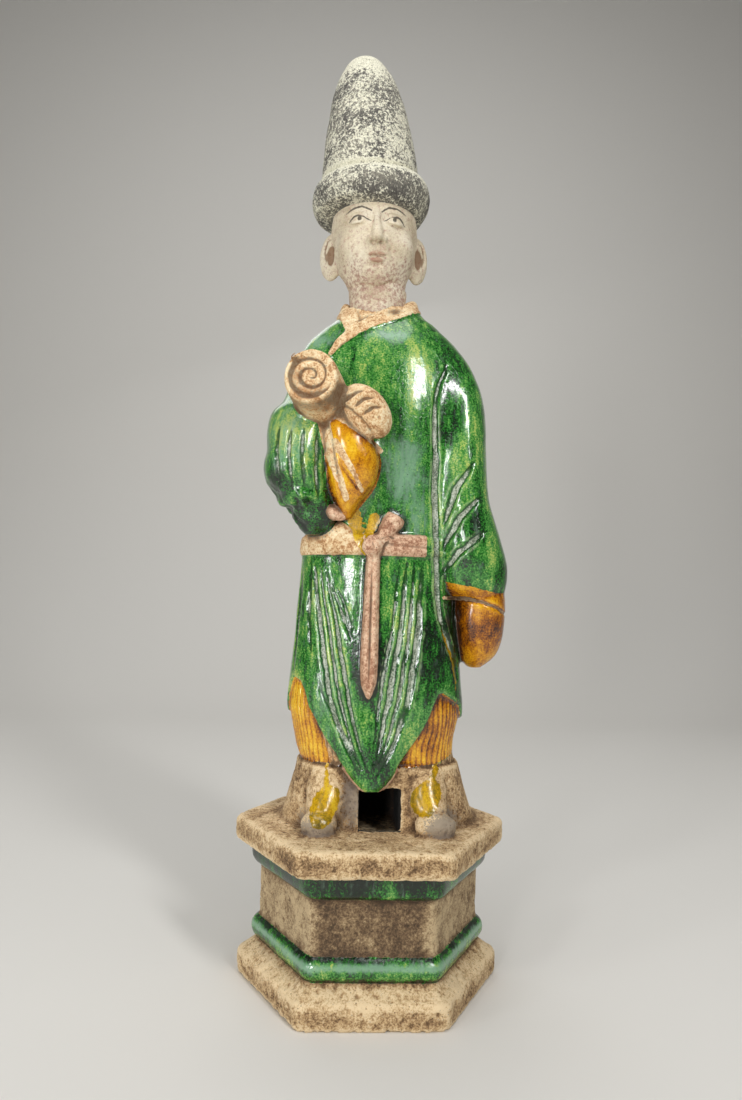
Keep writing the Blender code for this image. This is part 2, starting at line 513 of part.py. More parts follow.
def head_relief(points, normals):
    """How far each point of the head moves outward, in millimetres, for eyelids, lips, ears and the brim."""
    x, y = points[:, 0] / HEAD_MM, points[:, 1] / HEAD_MM
    k = (points[:, 2] - COLLAR_TOP) / HEAD_MM
    front = ramp((0.1 - normals[:, 1]) / 0.3) * (k < 40) * (y < -8)
    out = np.zeros(len(x))
    for side in (-1, 1):
        eye_x = FACE_X + side * EYE_APART
        lid = [(eye_x - 4.6, 30.3), (eye_x, 29.9), (eye_x + 4.6, 30.3)]
        out += gouge(x, k, lid, 1.1, 0.7) * front
        crease = [(eye_x - 4.6, 32.4), (eye_x, 34.2), (eye_x + 4.6, 32.4)]
        out += gouge(x, k, crease, 1.2, 0.6) * front
        socket = np.exp(-((x - (eye_x - side * 4.8)) / 2.4) ** 2 - ((k - 31.5) / 2.8) ** 2)
        out -= 0.9 * socket * front
        ear_x = EAR_LEFT if side < 0 else EAR_RIGHT
        bowl = [(ear_x + 1.3 * side, 29), (ear_x + 2.1 * side, 22), (ear_x + 1.1 * side, 13)]
        facing_ear = ramp((0.2 - normals[:, 1]) / 0.4) * (np.abs(x - FACE_X) > 19) * (y < 4)
        out += gouge(x, k, bowl, 4.4, 2.0) * facing_ear
    out += gouge(x, k, [(-10.8, 13.2), (-5.7, 12.9), (-0.6, 13.2)], 1.1, 0.9) * front
    crease = 59.2 + 0.05 * x + 0.03 * y
    out -= 0.9 * np.exp(-(((k - crease) / 1.2) ** 2))
    return out * HEAD_MM


def carved(obj, relief):
    """Moves the skin in or out along its normals."""
    points, normals = get_points(obj.data), get_normals(obj.data)
    set_points(obj.data, points + normals * relief(points, normals)[:, None])
    return obj


def baked(obj):
    """Fixes the modifiers of an object into its mesh."""
    graph = bpy.context.evaluated_depsgraph_get()
    mesh = bpy.data.meshes.new_from_object(obj.evaluated_get(graph))
    obj.modifiers.clear()
    obj.data = mesh
    return obj


def largest_shell(obj):
    """Drops the loose scraps and inner pockets a join can leave."""
    bm = bmesh.new()
    bm.from_mesh(obj.data)
    left = set(bm.verts)
    shells = []
    while left:
        shell = {left.pop()}
        edge = list(shell)
        while edge:
            near = {e.other_vert(v) for v in edge for e in v.link_edges}
            edge = list(near - shell)
            shell |= near
        left -= shell
        shells.append(shell)
    keep = max(shells, key=len)
    bmesh.ops.delete(bm, geom=[v for v in bm.verts if v not in keep], context="VERTS")
    bm.to_mesh(obj.data)
    bm.free()
    return obj


def simplified(obj, triangles):
    """Brings a sculpted skin down to a number of triangles, finest where it bends most."""
    faces = sum(len(p.vertices) - 2 for p in obj.data.polygons)
    thin = obj.modifiers.new("thin", "DECIMATE")
    thin.ratio = triangles / faces
    thin.use_collapse_triangulate = True
    return baked(obj)


def combined(obj, other, operation):
    """Joins another solid to an object, or cuts it away."""
    step = obj.modifiers.new("combine", "BOOLEAN")
    step.operation = operation
    step.solver = "EXACT"
    step.object = other
    baked(obj)
    bpy.data.objects.remove(other)
    return obj


def cone(name, foot_height, foot_radius, top_height, top_radius):
    """A plain round taper on the neck's centre line."""
    turn = np.linspace(0, 2 * math.pi, 28, endpoint=False)
    rings = []
    for height, radius in ((foot_height, foot_radius), (top_height, top_radius)):
        x = NECK_X + radius * np.cos(turn)
        y = NECK_Y + radius * np.sin(turn)
        rings.append(np.stack([x, y, np.full(len(turn), height)], axis=1))
    return skin_rings(name, rings)


def hollow():
    """The dark opening between the boots, which widens upward into the empty body."""
    floor = [(-45, 0.4), (-25, 0.4), (-23, -4), (14, -4)]
    roof = [(14, 40), (-12, 40), (-20, 21), (-25, 17.5), (-45, 17.5)]
    left = HOLLOW_X - HOLLOW_WIDTH / 2
    rings = []
    for x in (left, left + HOLLOW_WIDTH):
        rings.append([(x, y * BODY_MM, SLAB_TOP + h * BODY_MM) for y, h in floor + roof])
    return skin_rings("hollow", rings)


def fired(obj, name, colour, roughness):
    """Names a finished piece, turns it to triangles and gives it its material."""
    bm = bmesh.new()
    bm.from_mesh(obj.data)
    bmesh.ops.triangulate(bm, faces=bm.faces)
    bmesh.ops.recalc_face_normals(bm, faces=bm.faces)
    bm.to_mesh(obj.data)
    bm.free()
    obj.name = name
    obj.data.name = name
    material = bpy.data.materials.new(name)
    material.use_nodes = True
    shader = material.node_tree.nodes["Principled BSDF"]
    shader.inputs["Base Color"].default_value = (*colour, 1)
    shader.inputs["Roughness"].default_value = roughness
    obj.data.materials.clear()
    obj.data.materials.append(material)
    return obj


clear_scene()

# The robed figure
body = luted("body", body_forms(44, 4), BODY_VOXEL, 3)
largest_shell(body)
carved(body, body_relief)
simplified(body, BODY_TRIANGLES)

# The plinth under it, the hollow between the boots and the socket in the collar
combined(body, plinth(), "UNION")
combined(body, hollow(), "DIFFERENCE")
plug_foot = COLLAR_TOP - PLUG_LENGTH
taper = (PLUG_TOP_RADIUS - PLUG_FOOT_RADIUS) / PLUG_LENGTH
socket_top_radius = PLUG_TOP_RADIUS + taper * SOCKET_OVERRUN + SOCKET_GAP
socket = cone("socket", plug_foot - SOCKET_GAP, PLUG_FOOT_RADIUS + SOCKET_GAP,
              COLLAR_TOP + SOCKET_OVERRUN, socket_top_radius)
combined(body, socket, "DIFFERENCE")
fired(body, "figure_on_plinth", (0.03, 0.20, 0.05), 0.25)

# The head with its hat and the neck plug
head = luted("head", head_forms(44, 4), HEAD_VOXEL, 2)
largest_shell(head)
carved(head, head_relief)
simplified(head, HEAD_TRIANGLES)
plug_top_radius = PLUG_TOP_RADIUS + taper * PLUG_RISE
plug = cone("plug", plug_foot, PLUG_FOOT_RADIUS, COLLAR_TOP + PLUG_RISE, plug_top_radius)
combined(head, plug, "UNION")
fired(head, "head_with_hat", (0.45, 0.36, 0.28), 0.85)
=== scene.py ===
import math

import bmesh
import bpy
import numpy as np
from mathutils import Matrix, Vector, noise
from mathutils.bvhtree import BVHTree


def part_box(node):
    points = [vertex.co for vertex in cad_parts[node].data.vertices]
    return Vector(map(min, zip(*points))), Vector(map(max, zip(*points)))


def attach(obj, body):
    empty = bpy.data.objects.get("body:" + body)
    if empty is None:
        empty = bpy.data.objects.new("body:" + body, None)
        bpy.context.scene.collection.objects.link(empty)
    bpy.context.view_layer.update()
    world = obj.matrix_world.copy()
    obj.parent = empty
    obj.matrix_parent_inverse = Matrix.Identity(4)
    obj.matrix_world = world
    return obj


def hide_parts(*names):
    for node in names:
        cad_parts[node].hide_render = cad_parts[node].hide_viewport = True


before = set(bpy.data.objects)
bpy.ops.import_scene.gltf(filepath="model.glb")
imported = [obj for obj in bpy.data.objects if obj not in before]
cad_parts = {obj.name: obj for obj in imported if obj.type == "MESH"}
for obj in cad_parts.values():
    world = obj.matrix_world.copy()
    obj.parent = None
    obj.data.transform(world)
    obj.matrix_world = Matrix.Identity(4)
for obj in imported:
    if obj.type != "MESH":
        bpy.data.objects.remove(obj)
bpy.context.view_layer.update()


# The figure stands on a pale seamless sweep, as on a photographer's table.
# The sweep is painted card: matt, almost without texture, curving up behind the figure.

def linear(code, alpha=1.0):
    """The linear colour of an sRGB hex value."""
    parts = [int(code[i:i + 2], 16) / 255 for i in (1, 3, 5)]
    return tuple(c / 12.92 if c <= 0.04045 else ((c + 0.055) / 1.055) ** 2.4 for c in parts) + (alpha,)


def add(tree, kind, settings=None, **inputs):
    """Adds a node with its settings. Its inputs are numbers, colours, sockets, or nodes for their live output."""
    node = tree.nodes.new("ShaderNode" + kind)
    for key, value in (settings or {}).items():
        if key == "stops":
            stops = node.color_ramp.elements
            while len(stops) < len(value):
                stops.new(1.0)
            for stop, (position, code) in zip(stops, value):
                stop.position = position
                stop.color = linear(code)
        else:
            setattr(node, key, value)
    return fed(tree, node, **inputs)


def fed(tree, node, **inputs):
    """Sets or links a node's inputs, named by their identifiers with underscores for spaces."""
    for key, value in inputs.items():
        socket = next(s for s in node.inputs if s.identifier.replace(" ", "_") == key)
        if isinstance(value, bpy.types.Node):
            value = next(s for s in value.outputs if s.enabled)
        if isinstance(value, bpy.types.NodeSocket):
            tree.links.new(value, socket)
        else:
            socket.default_value = value
    return node


def new_piece(name, mesh):
    """Puts a mesh into the scene as a piece of its own."""
    piece = bpy.data.objects.new(name, mesh)
    bpy.context.scene.collection.objects.link(piece)
    return piece


CARD_HALF_WIDTH = 2.4
BEND_STARTS, BEND_RADIUS = 0.75, 0.5
card_profile = [(-1.6, 0.0), (BEND_STARTS, 0.0)]
card_profile += [(BEND_STARTS + BEND_RADIUS * math.sin(a), BEND_RADIUS - BEND_RADIUS * math.cos(a))
                 for a in np.linspace(0.05, math.pi / 2, 20)]
card_profile += [(BEND_STARTS + BEND_RADIUS, 2.6)]
card_mesh = bpy.data.meshes.new("sweep_card")
card_points = [(x, y, z - 0.0002) for y, z in card_profile for x in (-CARD_HALF_WIDTH, CARD_HALF_WIDTH)]
card_faces = [(2 * i, 2 * i + 1, 2 * i + 3, 2 * i + 2) for i in range(len(card_profile) - 1)]
card_mesh.from_pydata(card_points, [], card_faces)
for face in card_mesh.polygons:
    face.use_smooth = True
card = new_piece("sweep_card", card_mesh)
card_paint = bpy.data.materials.new("matt_painted_card")
card_paint.use_nodes = True
card_shader = card_paint.node_tree.nodes["Principled BSDF"]
card_shader.inputs["Base Color"].default_value = linear("#dcdad5")
card_shader.inputs["Roughness"].default_value = 0.9
card_mesh.materials.append(card_paint)


# Studio light: large soft boxes left and right in front, one above and a low fill, so the glaze shows
# long soft highlights and the bare clay stays readable.

def soft_box(name, place, target, width, height, watts, colour="#ffffff"):
    lamp = bpy.data.lights.new(name, "AREA")
    lamp.shape = "RECTANGLE"
    lamp.size, lamp.size_y = width, height
    lamp.energy = watts
    lamp.color = linear(colour)[:3]
    holder = bpy.data.objects.new(name, lamp)
    bpy.context.scene.collection.objects.link(holder)
    holder.location = place
    holder.rotation_euler = (Vector(target) - Vector(place)).to_track_quat("-Z", "Y").to_euler()


def seen_from(azimuth, elevation, far, height):
    """A place round the figure: degrees to the right of the front, degrees up, and metres away."""
    a, e = math.radians(azimuth), math.radians(elevation)
    return (far * math.sin(a) * math.cos(e), -far * math.cos(a) * math.cos(e), height + far * math.sin(e))


chest = (0.0, 0.0, 0.24)
soft_box("right_window", seen_from(31, 31, 1.1, 0.26), chest, 0.13, 0.46, 5.6)
soft_box("high_window", seen_from(-38, 28, 1.0, 0.24), chest, 0.10, 0.16, 1.3)
soft_box("left_window", seen_from(-24, 6, 1.1, 0.17), chest, 0.14, 0.30, 3.4)
soft_box("low_window", seen_from(-56, 2, 0.9, 0.12), (0, 0, 0.15), 0.10, 0.22, 1.5)
soft_box("ceiling_box", seen_from(-20, 78, 1.1, 0.2), chest, 0.80, 0.60, 4.5)
soft_box("back_box", (-0.25, 0.95, 1.05), chest, 0.90, 0.50, 2.2)
soft_box("card_wash", (0.0, 0.25, 1.30), (0.0, 1.25, 0.35), 0.80, 0.20, 2.6)
studio = bpy.data.worlds.new("studio")
bpy.context.scene.world = studio
studio.use_nodes = True
studio.node_tree.nodes["Background"].inputs["Color"].default_value = linear("#a9a7a3")
studio.node_tree.nodes["Background"].inputs["Strength"].default_value = 0.3
bpy.context.scene.view_settings.view_transform = "Standard"


# The camera is held close in front of the figure, a little below the chest, and rolled slightly, which gives
# the strong perspective of a close picture.
lens_place = Vector((-0.02095, -0.37529, 0.17520))
lens_turn, lens_tilt, lens_roll = -2.67, 3.65, 1.64
camera_data = bpy.data.cameras.new("camera")
camera_data.sensor_width = 36
camera_data.lens = 25.13
camera_data.clip_start = 0.02
camera = bpy.data.objects.new("camera", camera_data)
bpy.context.scene.collection.objects.link(camera)
turned = Matrix.Rotation(math.radians(lens_turn), 4, "Z") @ Matrix.Rotation(math.radians(90 + lens_tilt), 4, "X")
camera.matrix_world = Matrix.Translation(lens_place) @ turned @ Matrix.Rotation(math.radians(lens_roll), 4, "Z")
bpy.context.scene.camera = camera


# The robed body and its stand: one piece of buff clay pressed in moulds, luted together while soft,
# then cut with a gouge where the cloth folds. The forms follow the solid's, with finer skin and deeper detail.

MM = 0.001
SLAB_TOP = 0.0718
BODY_VOXEL = 0.0008
BODY_TRIANGLES = 190000


def smooth_rows(rows, steps):
    """Rows of numbers read off a smooth curve through the given rows."""
    rows = np.array(rows, float)
    slopes = np.gradient(rows, axis=0)
    out = []
    for i in range(len(rows) - 1):
        for t in np.linspace(0, 1, steps, endpoint=False):
            h = (2 * t**3 - 3 * t**2 + 1, t**3 - 2 * t**2 + t, 3 * t**2 - 2 * t**3, t**3 - t**2)
            out.append(h[0] * rows[i] + h[1] * slopes[i] + h[2] * rows[i + 1] + h[3] * slopes[i + 1])
    out.append(rows[-1])
    return np.array(out)


def skin_rings(rings):
    """Points and faces of a closed skin over a stack of rings, the first ring the lowest."""
    count = len(rings[0])
    points = np.concatenate([np.asarray(ring, float) for ring in rings])
    faces = []
    for level in range(len(rings) - 1):
        a, b = level * count, (level + 1) * count
        faces += [(a + i, a + (i + 1) % count, b + (i + 1) % count, b + i) for i in range(count)]
    faces.append(tuple(range(count))[::-1])
    top = (len(rings) - 1) * count
    faces.append(tuple(range(top, top + count)))
    return points, faces


def moulded(sections, base, squareness=2.3, around=96, steps=7):
    """A form pressed in a mould, given by level slices: height, left, right, front, back in millimetres."""
    turn = np.linspace(0, 2 * math.pi, around, endpoint=False)
    c, s = np.cos(turn), np.sin(turn)
    power = 2 / squareness
    rings = []
    for height, left, right, front, back in smooth_rows(sorted(sections), steps):
        x = (left + right) / 2 + (right - left) / 2 * np.sign(c) * np.abs(c) ** power
        y = (front + back) / 2 + (back - front) / 2 * np.sign(s) * np.abs(s) ** power
        rings.append(np.stack([x * MM, y * MM, np.full(around, base + height * MM)], axis=1))
    return skin_rings(rings)


def rolled(stations, base, around=48, steps=7):
    """A form rolled in the hands along a bent line: x, y, height and radius in millimetres."""
    rows = smooth_rows(stations, steps)
    centres = np.stack([rows[:, 0] * MM, rows[:, 1] * MM, base + rows[:, 2] * MM], axis=1)
    tangents = np.gradient(centres, axis=0)
    side = Vector((0.31, 0.17, 0.93))
    turn = np.linspace(0, 2 * math.pi, around, endpoint=False)[:, None]
    rings = []
    for centre, tangent, radius in zip(centres, tangents, rows[:, 3] * MM):
        along = Vector(tangent).normalized()
        across = along.cross(side).normalized()
        up = along.cross(across)
        side = across.cross(along)
        rings.append(centre + radius * (np.cos(turn) * np.array(across) + np.sin(turn) * np.array(up)))
    return skin_rings(rings)


def pinched(centre, radii, base, turn=(0, 0, 0)):
    """An egg of clay pinched on, with three half-lengths, turned by degrees about X, Y and Z."""
    ball = bmesh.new()
    bmesh.ops.create_uvsphere(ball, u_segments=48, v_segments=32, radius=1.0)
    place = Matrix.Translation((centre[0] * MM, centre[1] * MM, base + centre[2] * MM))
    for axis, degrees in zip("ZYX", turn[::-1]):
        place @= Matrix.Rotation(math.radians(degrees), 4, axis)
    place @= Matrix.Diagonal((*[r * MM for r in radii], 1.0))
    points = np.array([place @ v.co for v in ball.verts])
    faces = [tuple(v.index for v in f.verts) for f in ball.faces]
    ball.free()
    return points, faces


def ramp(t):
    """Rises smoothly from 0 to 1 as t goes from 0 to 1."""
    t = np.clip(t, 0, 1)
    return t * t * (3 - 2 * t)


def bell(t):
    """A soft bump: 1 where t is 0, and almost 0 where it is past 2 either way."""
    return np.exp(-(t**2))


def near_line(u, v, path, reach=1e9):
    """For points (u, v): distance to a bent line, side of it, and share of its length passed.
    Points further off than the reach are left at a huge distance."""
    path = np.array(path, float)
    lengths = np.hypot(*(path[1:] - path[:-1]).T)
    passed = np.concatenate([[0], np.cumsum(lengths)])
    best, side, share = np.full(len(u), 1e9), np.ones(len(u)), np.zeros(len(u))
    low, high = path.min(axis=0) - reach, path.max(axis=0) + reach
    near = np.flatnonzero((u > low[0]) & (u < high[0]) & (v > low[1]) & (v < high[1]))
    u, v = u[near], v[near]
    b, s, p = best[near], side[near], share[near]
    for (x0, y0), (x1, y1), length, start in zip(path[:-1], path[1:], lengths, passed):
        t = np.clip(((u - x0) * (x1 - x0) + (v - y0) * (y1 - y0)) / length**2, 0, 1)
        away = np.hypot(u - x0 - t * (x1 - x0), v - y0 - t * (y1 - y0))
        closer = away < b
        b = np.where(closer, away, b)
        s = np.where(closer, np.sign((x1 - x0) * (v - y0) - (y1 - y0) * (u - x0)), s)
        p = np.where(closer, (start + t * length) / passed[-1], p)
    best[near], side[near], share[near] = b, s, p
    return best, side, share


def gouge(u, v, path, width, depth):
    """How deep a lens-shaped cut goes, with a low lip on both sides; less than zero is cut away."""
    away, _, share = near_line(u, v, path, 3 * width)
    lens = np.sin(math.pi * np.clip(share, 0.02, 0.98)) ** 0.45
    half = width * (0.35 + 0.65 * lens) / 2
    cut = np.exp(-((away / half) ** 2.6))
    lip = 0.16 * bell((away - 1.6 * half) / (0.6 * half))
    return depth * lens * (lip - cut)


def fold_family(first, last, count):
    """Fold lines spaced evenly between two bent lines with the same number of points."""
    first, last = np.array(first, float), np.array(last, float)
    return [first + (last - first) * t for t in np.linspace(0, 1, count)]


def leaned(form, base, low, high, slope_x, slope_y, slope_back):
    """Leans the top of a form by slopes in X and Y that grow from one height to another."""
    points, faces = form
    share = ramp(((points[:, 2] - base) / MM - low) / (high - low))
    points[:, 2] += share * (slope_x * points[:, 0] + np.where(points[:, 1] < 0, slope_y, slope_back) * points[:, 1])
    return points, faces


body_forms = {}
body_forms["block"] = moulded(
    [(-4, -44, 51.5, -26, 36), (5, -41.5, 47.8, -26, 34), (15, -38.8, 44.4, -25, 31), (26, -36, 41.4, -24, 28),
     (36, -35, 39, -23, 26)], SLAB_TOP, 2.6)
for boot, toe, lean, half_width in (("left_boot", -24.4, -1, 8.2), ("right_boot", 27.2, 1, 9.4)):
    heel = toe - 5.4 * lean
    body_forms[boot] = rolled(
        [(heel, -4, 34, 11), (heel + lean, -12.5, 23, 10.6), (heel + 2.2 * lean, -20, 12.8, 9.6),
         (toe - 1.2 * lean, -26, 7, 7.4), (toe - 0.8 * lean, -29, 4.4, 5.4)], SLAB_TOP)
    body_forms[boot + "_toe"] = pinched((toe, -30.5, 4), (half_width, 6.8, 6), SLAB_TOP)
body_forms["skirt"] = moulded(
    [(27.6, -35.5, 38.5, -25, 25), (30.5, -37.6, 39.8, -26.7, 26.7), (38.6, -39.5, 40.4, -27.3, 27.5),
     (44, -40.6, 41.6, -27.8, 28), (52, -41.8, 42.8, -28.2, 28.5), (67, -40.9, 41.5, -28.4, 28.5),
     (82.5, -39.5, 40, -28.4, 28.3), (97, -38.6, 38.5, -28.2, 27.8), (116, -37.3, 36.5, -27.8, 26.5),
     (125, -36.6, 35.5, -27.5, 26), (133, -35.5, 35, -27, 25.5)], SLAB_TOP, 2.3, 160)
body_forms["tongue"] = moulded(
    [(15.6, -3.4, 0.8, -27.6, -21), (17.2, -5.6, 2.6, -28.6, -20), (20, -8.4, 5.4, -29, -19),
     (24, -12, 8.6, -29.2, -18), (30, -16.4, 12, -29.3, -17), (38, -19, 15.5, -29, -15),
     (48, -20, 17, -28.5, -13), (60, -19, 16, -27.6, -12)], SLAB_TOP, 3.0)
body_forms["torso"] = moulded(
    [(127, -35, 34.5, -26.5, 25), (141.6, -35, 35, -26.8, 25), (160, -35.5, 36, -28, 25), (180, -37, 37, -29, 26),
     (199.6, -40, 40, -28.5, 27), (214.6, -41.5, 41, -26, 26.5), (226.2, -40, 38.5, -22.5, 25),
     (232.6, -34.5, 33, -19.5, 23), (237.6, -27.5, 28, -16.5, 20), (241.6, -22.5, 21.5, -14.5, 17.5),
     (246, -20, 17.5, -13, 15)], SLAB_TOP, 2.3, 160)
body_forms["belt"] = moulded(
    [(123.4, -36, 35, -27, 25), (124.4, -37.8, 36.8, -29.4, 27.7), (128, -38, 37, -29.8, 28),
     (132, -37.4, 36.8, -29.4, 27.6), (133, -35.5, 35, -26.5, 25)], SLAB_TOP, 2.3, 160)
body_forms["hanging_sleeve"] = moulded(
    [(231, 12, 33, -12, 14), (222, 16, 41.5, -17.5, 18), (209.6, 19, 47.2, -21.5, 20), (194, 21.5, 50.6, -24.5, 21),
     (180, 23, 50.9, -26, 21), (165, 24, 51.5, -27, 21), (151.6, 24.8, 52.8, -27.5, 21), (138, 25.5, 57.2, -27.8, 21),
     (125.6, 26.2, 60.9, -27.5, 20), (117.6, 27, 62.3, -26.5, 19), (110, 29, 61.7, -25, 17),
     (105.5, 33, 60, -22, 14)], SLAB_TOP)
body_forms["hanging_cuff"] = moulded(
    [(114, 36, 60, -20, 13), (106, 37, 61.4, -22.5, 13.5), (98.8, 37, 61.4, -22.5, 13), (91, 37.5, 61, -21.5, 12),
     (85, 38.5, 60.1, -19.5, 10.5), (79.2, 40, 58.2, -16, 8), (75.2, 41.5, 54.9, -13, 5),
     (72, 44.5, 50.5, -9.5, 1)], SLAB_TOP)
body_forms["raised_sleeve"] = moulded(
    [(230, -36, -14, -11, 12), (221.6, -42, -14, -16, 14), (209.6, -45, -15, -21, 14), (196, -48, -17, -29, 13),
     (188.5, -53.4, -19, -35, 12), (179.6, -54.6, -21, -39, 10), (170.6, -54.2, -22.5, -41, 9),
     (163.6, -55.4, -23, -41.5, 8), (157, -54.2, -22.5, -40.5, 6), (150.6, -49.5, -21.5, -38, 3),
     (144.4, -44, -20.5, -35, -1), (139, -39.5, -20, -31.5, -6), (134.6, -36.6, -21, -29, -10),
     (132, -35, -24, -26, -14)], SLAB_TOP)
body_forms["inner_sleeve"] = moulded(
    [(186.6, -24, -13, -39, -24), (180, -27, -9, -41.5, -22), (173.6, -27.6, -5.5, -42.8, -20),
     (166.6, -27, -2.4, -42.6, -20), (160, -26, -2.8, -41.5, -20), (153.6, -25, -5, -40, -20),
     (147.6, -22, -9.5, -37.5, -21), (142.6, -19, -13, -34, -22), (139.6, -17, -14.5, -31, -24)], SLAB_TOP)
body_forms["hand"] = pinched((-8.8, -40.5, 186.2), (13.8, 8.6, 9.2), SLAB_TOP, (0, 51, 0))
body_forms["bundle"] = rolled(
    [(-34.2, -50.5, 198.6, 10.9), (-33.9, -49.3, 198.4, 11.9), (-31.8, -42, 196, 12.3), (-28.4, -32, 192, 12.2),
     (-25, -22, 188, 11.5), (-22, -12, 184, 11)], SLAB_TOP)
body_forms["sash"] = moulded(
    [(59.2, -4.4, -3.8, -30.4, -25), (62.6, -6, -2.4, -31.2, -25), (67, -7.3, -1.2, -31.5, -25),
     (80, -7.6, -0.8, -31.6, -25), (104.6, -6.8, -1, -31.4, -25), (125, -6.2, -1, -31.2, -25)], SLAB_TOP, 3.4)
body_forms["knot"] = pinched((-4.4, -31.4, 127.6), (4.4, 3.2, 5.2), SLAB_TOP, (0, 25, 0))
body_forms["knot_end"] = rolled(
    [(-1.5, -28.4, 127.5, 3.4), (1.2, -28.6, 131.5, 3.3), (3, -28.4, 135.5, 3.5), (5.2, -28, 139, 4.4),
     (6.4, -27.6, 141.2, 3.9)], SLAB_TOP)
body_forms["flap"] = pinched((-22.4, -29.6, 141.9), (6.2, 3.0, 3.0), SLAB_TOP, (0, 28, 0))
body_forms["belt_end"] = pinched((-21, -23.6, 130.6), (8.2, 4, 7.4), SLAB_TOP, (0, 0, -20))
collar = moulded(
    [(236, -26, 21, -17, 18), (241, -24, 18.5, -16.2, 17), (246.5, -22, 16.4, -15.4, 16),
     (249.8, -21, 15.2, -14.6, 15.4), (251.2, -19.8, 14, -13.6, 14.4)], SLAB_TOP)
collar = leaned(collar, SLAB_TOP, 238, 250, 0.09, 0.62, 0.25)
lip_x, lip_y, lip_h = collar[0][:, 0] / MM, collar[0][:, 1] / MM, (collar[0][:, 2] - SLAB_TOP) / MM
dip = 4.0 * bell((lip_x + 8.4) / 6.0) * ramp((-4 - lip_y) / 5) * ramp((lip_h - 234) / 6)
collar[0][:, 2] -= dip * MM
body_forms["collar"] = collar


def hexagon(radius, height, corner=6.0):
    """A level hexagon with rounded corners, one flat side to the front, in millimetres."""
    centre = radius - corner / math.cos(math.pi / 6)
    ring = []
    for k in range(6):
        for t in np.linspace(-math.pi / 6, math.pi / 6, 5):
            a = k * math.pi / 3
            ring.append((centre * math.cos(a) + corner * math.cos(a + t),
                         centre * math.sin(a) + corner * math.sin(a + t), height))
    return np.array(ring) * MM


WAIST_RADIUS, WAIST_TOP = 52.3, 49.4
TORUS_BOTTOM, TORUS_HEIGHT, TORUS_PROUD = 16.2, 9.5, 3.7
COVE_REACH, COVE_HEIGHT = 4.5, 5.4
stand_profile = [(59.9, 0), (61.9, 0.8), (62.1, 2.4), (62.1, 9.0), (61.4, 10.6), (59.7, 11.4), (56.0, 13.8)]
stand_profile += [(WAIST_RADIUS + TORUS_PROUD * math.sin(t), TORUS_BOTTOM + TORUS_HEIGHT * (1 - math.cos(t)) / 2)
                  for t in np.linspace(0, math.pi, 13)]
stand_profile += [(WAIST_RADIUS, WAIST_TOP)]
stand_profile += [(WAIST_RADIUS + COVE_REACH * math.sin(t), WAIST_TOP + COVE_HEIGHT * (1 - math.cos(t)))
                  for t in np.linspace(0.2, math.pi / 2, 6)]
stand_profile += [(56.8, 60.2), (62.4, 60.2), (64.1, 60.9), (64.8, 62.6), (64.8, 69.4), (64.1, 71.1), (62.4, 71.8)]
body_forms["stand"] = skin_rings([hexagon(radius, height) for radius, height in stand_profile])


def luted(name, forms, voxel, softening):
    """Joins overlapping forms into one skin, as soft clay is luted, and softens the joins."""
    points = np.concatenate([form[0] for form in forms])
    starts = np.cumsum([0] + [len(form[0]) for form in forms[:-1]])
    faces = [tuple(i + start for i in face) for form, start in zip(forms, starts) for face in form[1]]
    mesh = bpy.data.meshes.new(name)
    mesh.from_pydata(points.tolist(), [], [tuple(int(i) for i in face) for face in faces])
    piece = new_piece(name, mesh)
    remesh = piece.modifiers.new("lute", "REMESH")
    remesh.mode = "VOXEL"
    remesh.voxel_size = voxel
    soften = piece.modifiers.new("soften", "SMOOTH")
    soften.factor = 0.5
    soften.iterations = softening
    return settled(piece)


def settled(piece):
    """Fixes a piece's modifiers into its mesh."""
    graph = bpy.context.evaluated_depsgraph_get()
    mesh = bpy.data.meshes.new_from_object(piece.evaluated_get(graph))
    piece.modifiers.clear()
    piece.data = mesh
    return piece


def points_of(mesh, kind="co"):
    """The places of a mesh's points, or their normals, as rows of three numbers."""
    flat = np.empty(len(mesh.vertices) * 3)
    if kind == "co":
        mesh.vertices.foreach_get("co", flat)
    else:
        mesh.vertex_normals.foreach_get("vector", flat)
    return flat.reshape(-1, 3)


def move_points(mesh, points):
    """Puts a mesh's points at new places."""
    mesh.vertices.foreach_set("co", points.ravel())
    mesh.update()


def cut_away(piece, form):
    """Cuts a closed form out of a piece with a knife."""
    mesh = bpy.data.meshes.new("knife")
    mesh.from_pydata(form[0].tolist(), [], form[1])
    knife = bpy.data.objects.new("knife", mesh)
    bpy.context.scene.collection.objects.link(knife)
    step = piece.modifiers.new("cut", "BOOLEAN")
    step.operation = "DIFFERENCE"
    step.solver = "EXACT"
    step.object = knife
    settled(piece)
    bpy.data.objects.remove(knife)
    return piece


def thinned(piece, triangles):
    """Brings a skin down to a number of triangles, keeping them where it bends most."""
    faces = sum(len(p.vertices) - 2 for p in piece.data.polygons)
    if faces > triangles:
        thin = piece.modifiers.new("thin", "DECIMATE")
        thin.ratio = triangles / faces
        settled(piece)
    return piece


def largest_shell(piece):
    """Drops loose scraps and inner pockets left by the join."""
    count = len(piece.data.vertices)
    pairs = np.empty(len(piece.data.edges) * 2, dtype=np.int64)
    piece.data.edges.foreach_get("vertices", pairs)
    a, b = pairs.reshape(-1, 2).T
    label = np.arange(count)
    while True:
        low = np.minimum(label[a], label[b])
        new = label.copy()
        np.minimum.at(new, a, low)
        np.minimum.at(new, b, low)
        new = new[new]
        if (new == label).all():
            break
        label = new
    names, sizes = np.unique(label, return_counts=True)
    if len(names) > 1:
        keep = names[np.argmax(sizes)]
        scraps = bmesh.new()
        scraps.from_mesh(piece.data)
        scraps.verts.ensure_lookup_table()
        bmesh.ops.delete(scraps, geom=[scraps.verts[i] for i in np.flatnonzero(label != keep)], context="VERTS")
        scraps.to_mesh(piece.data)
        scraps.free()
    return piece


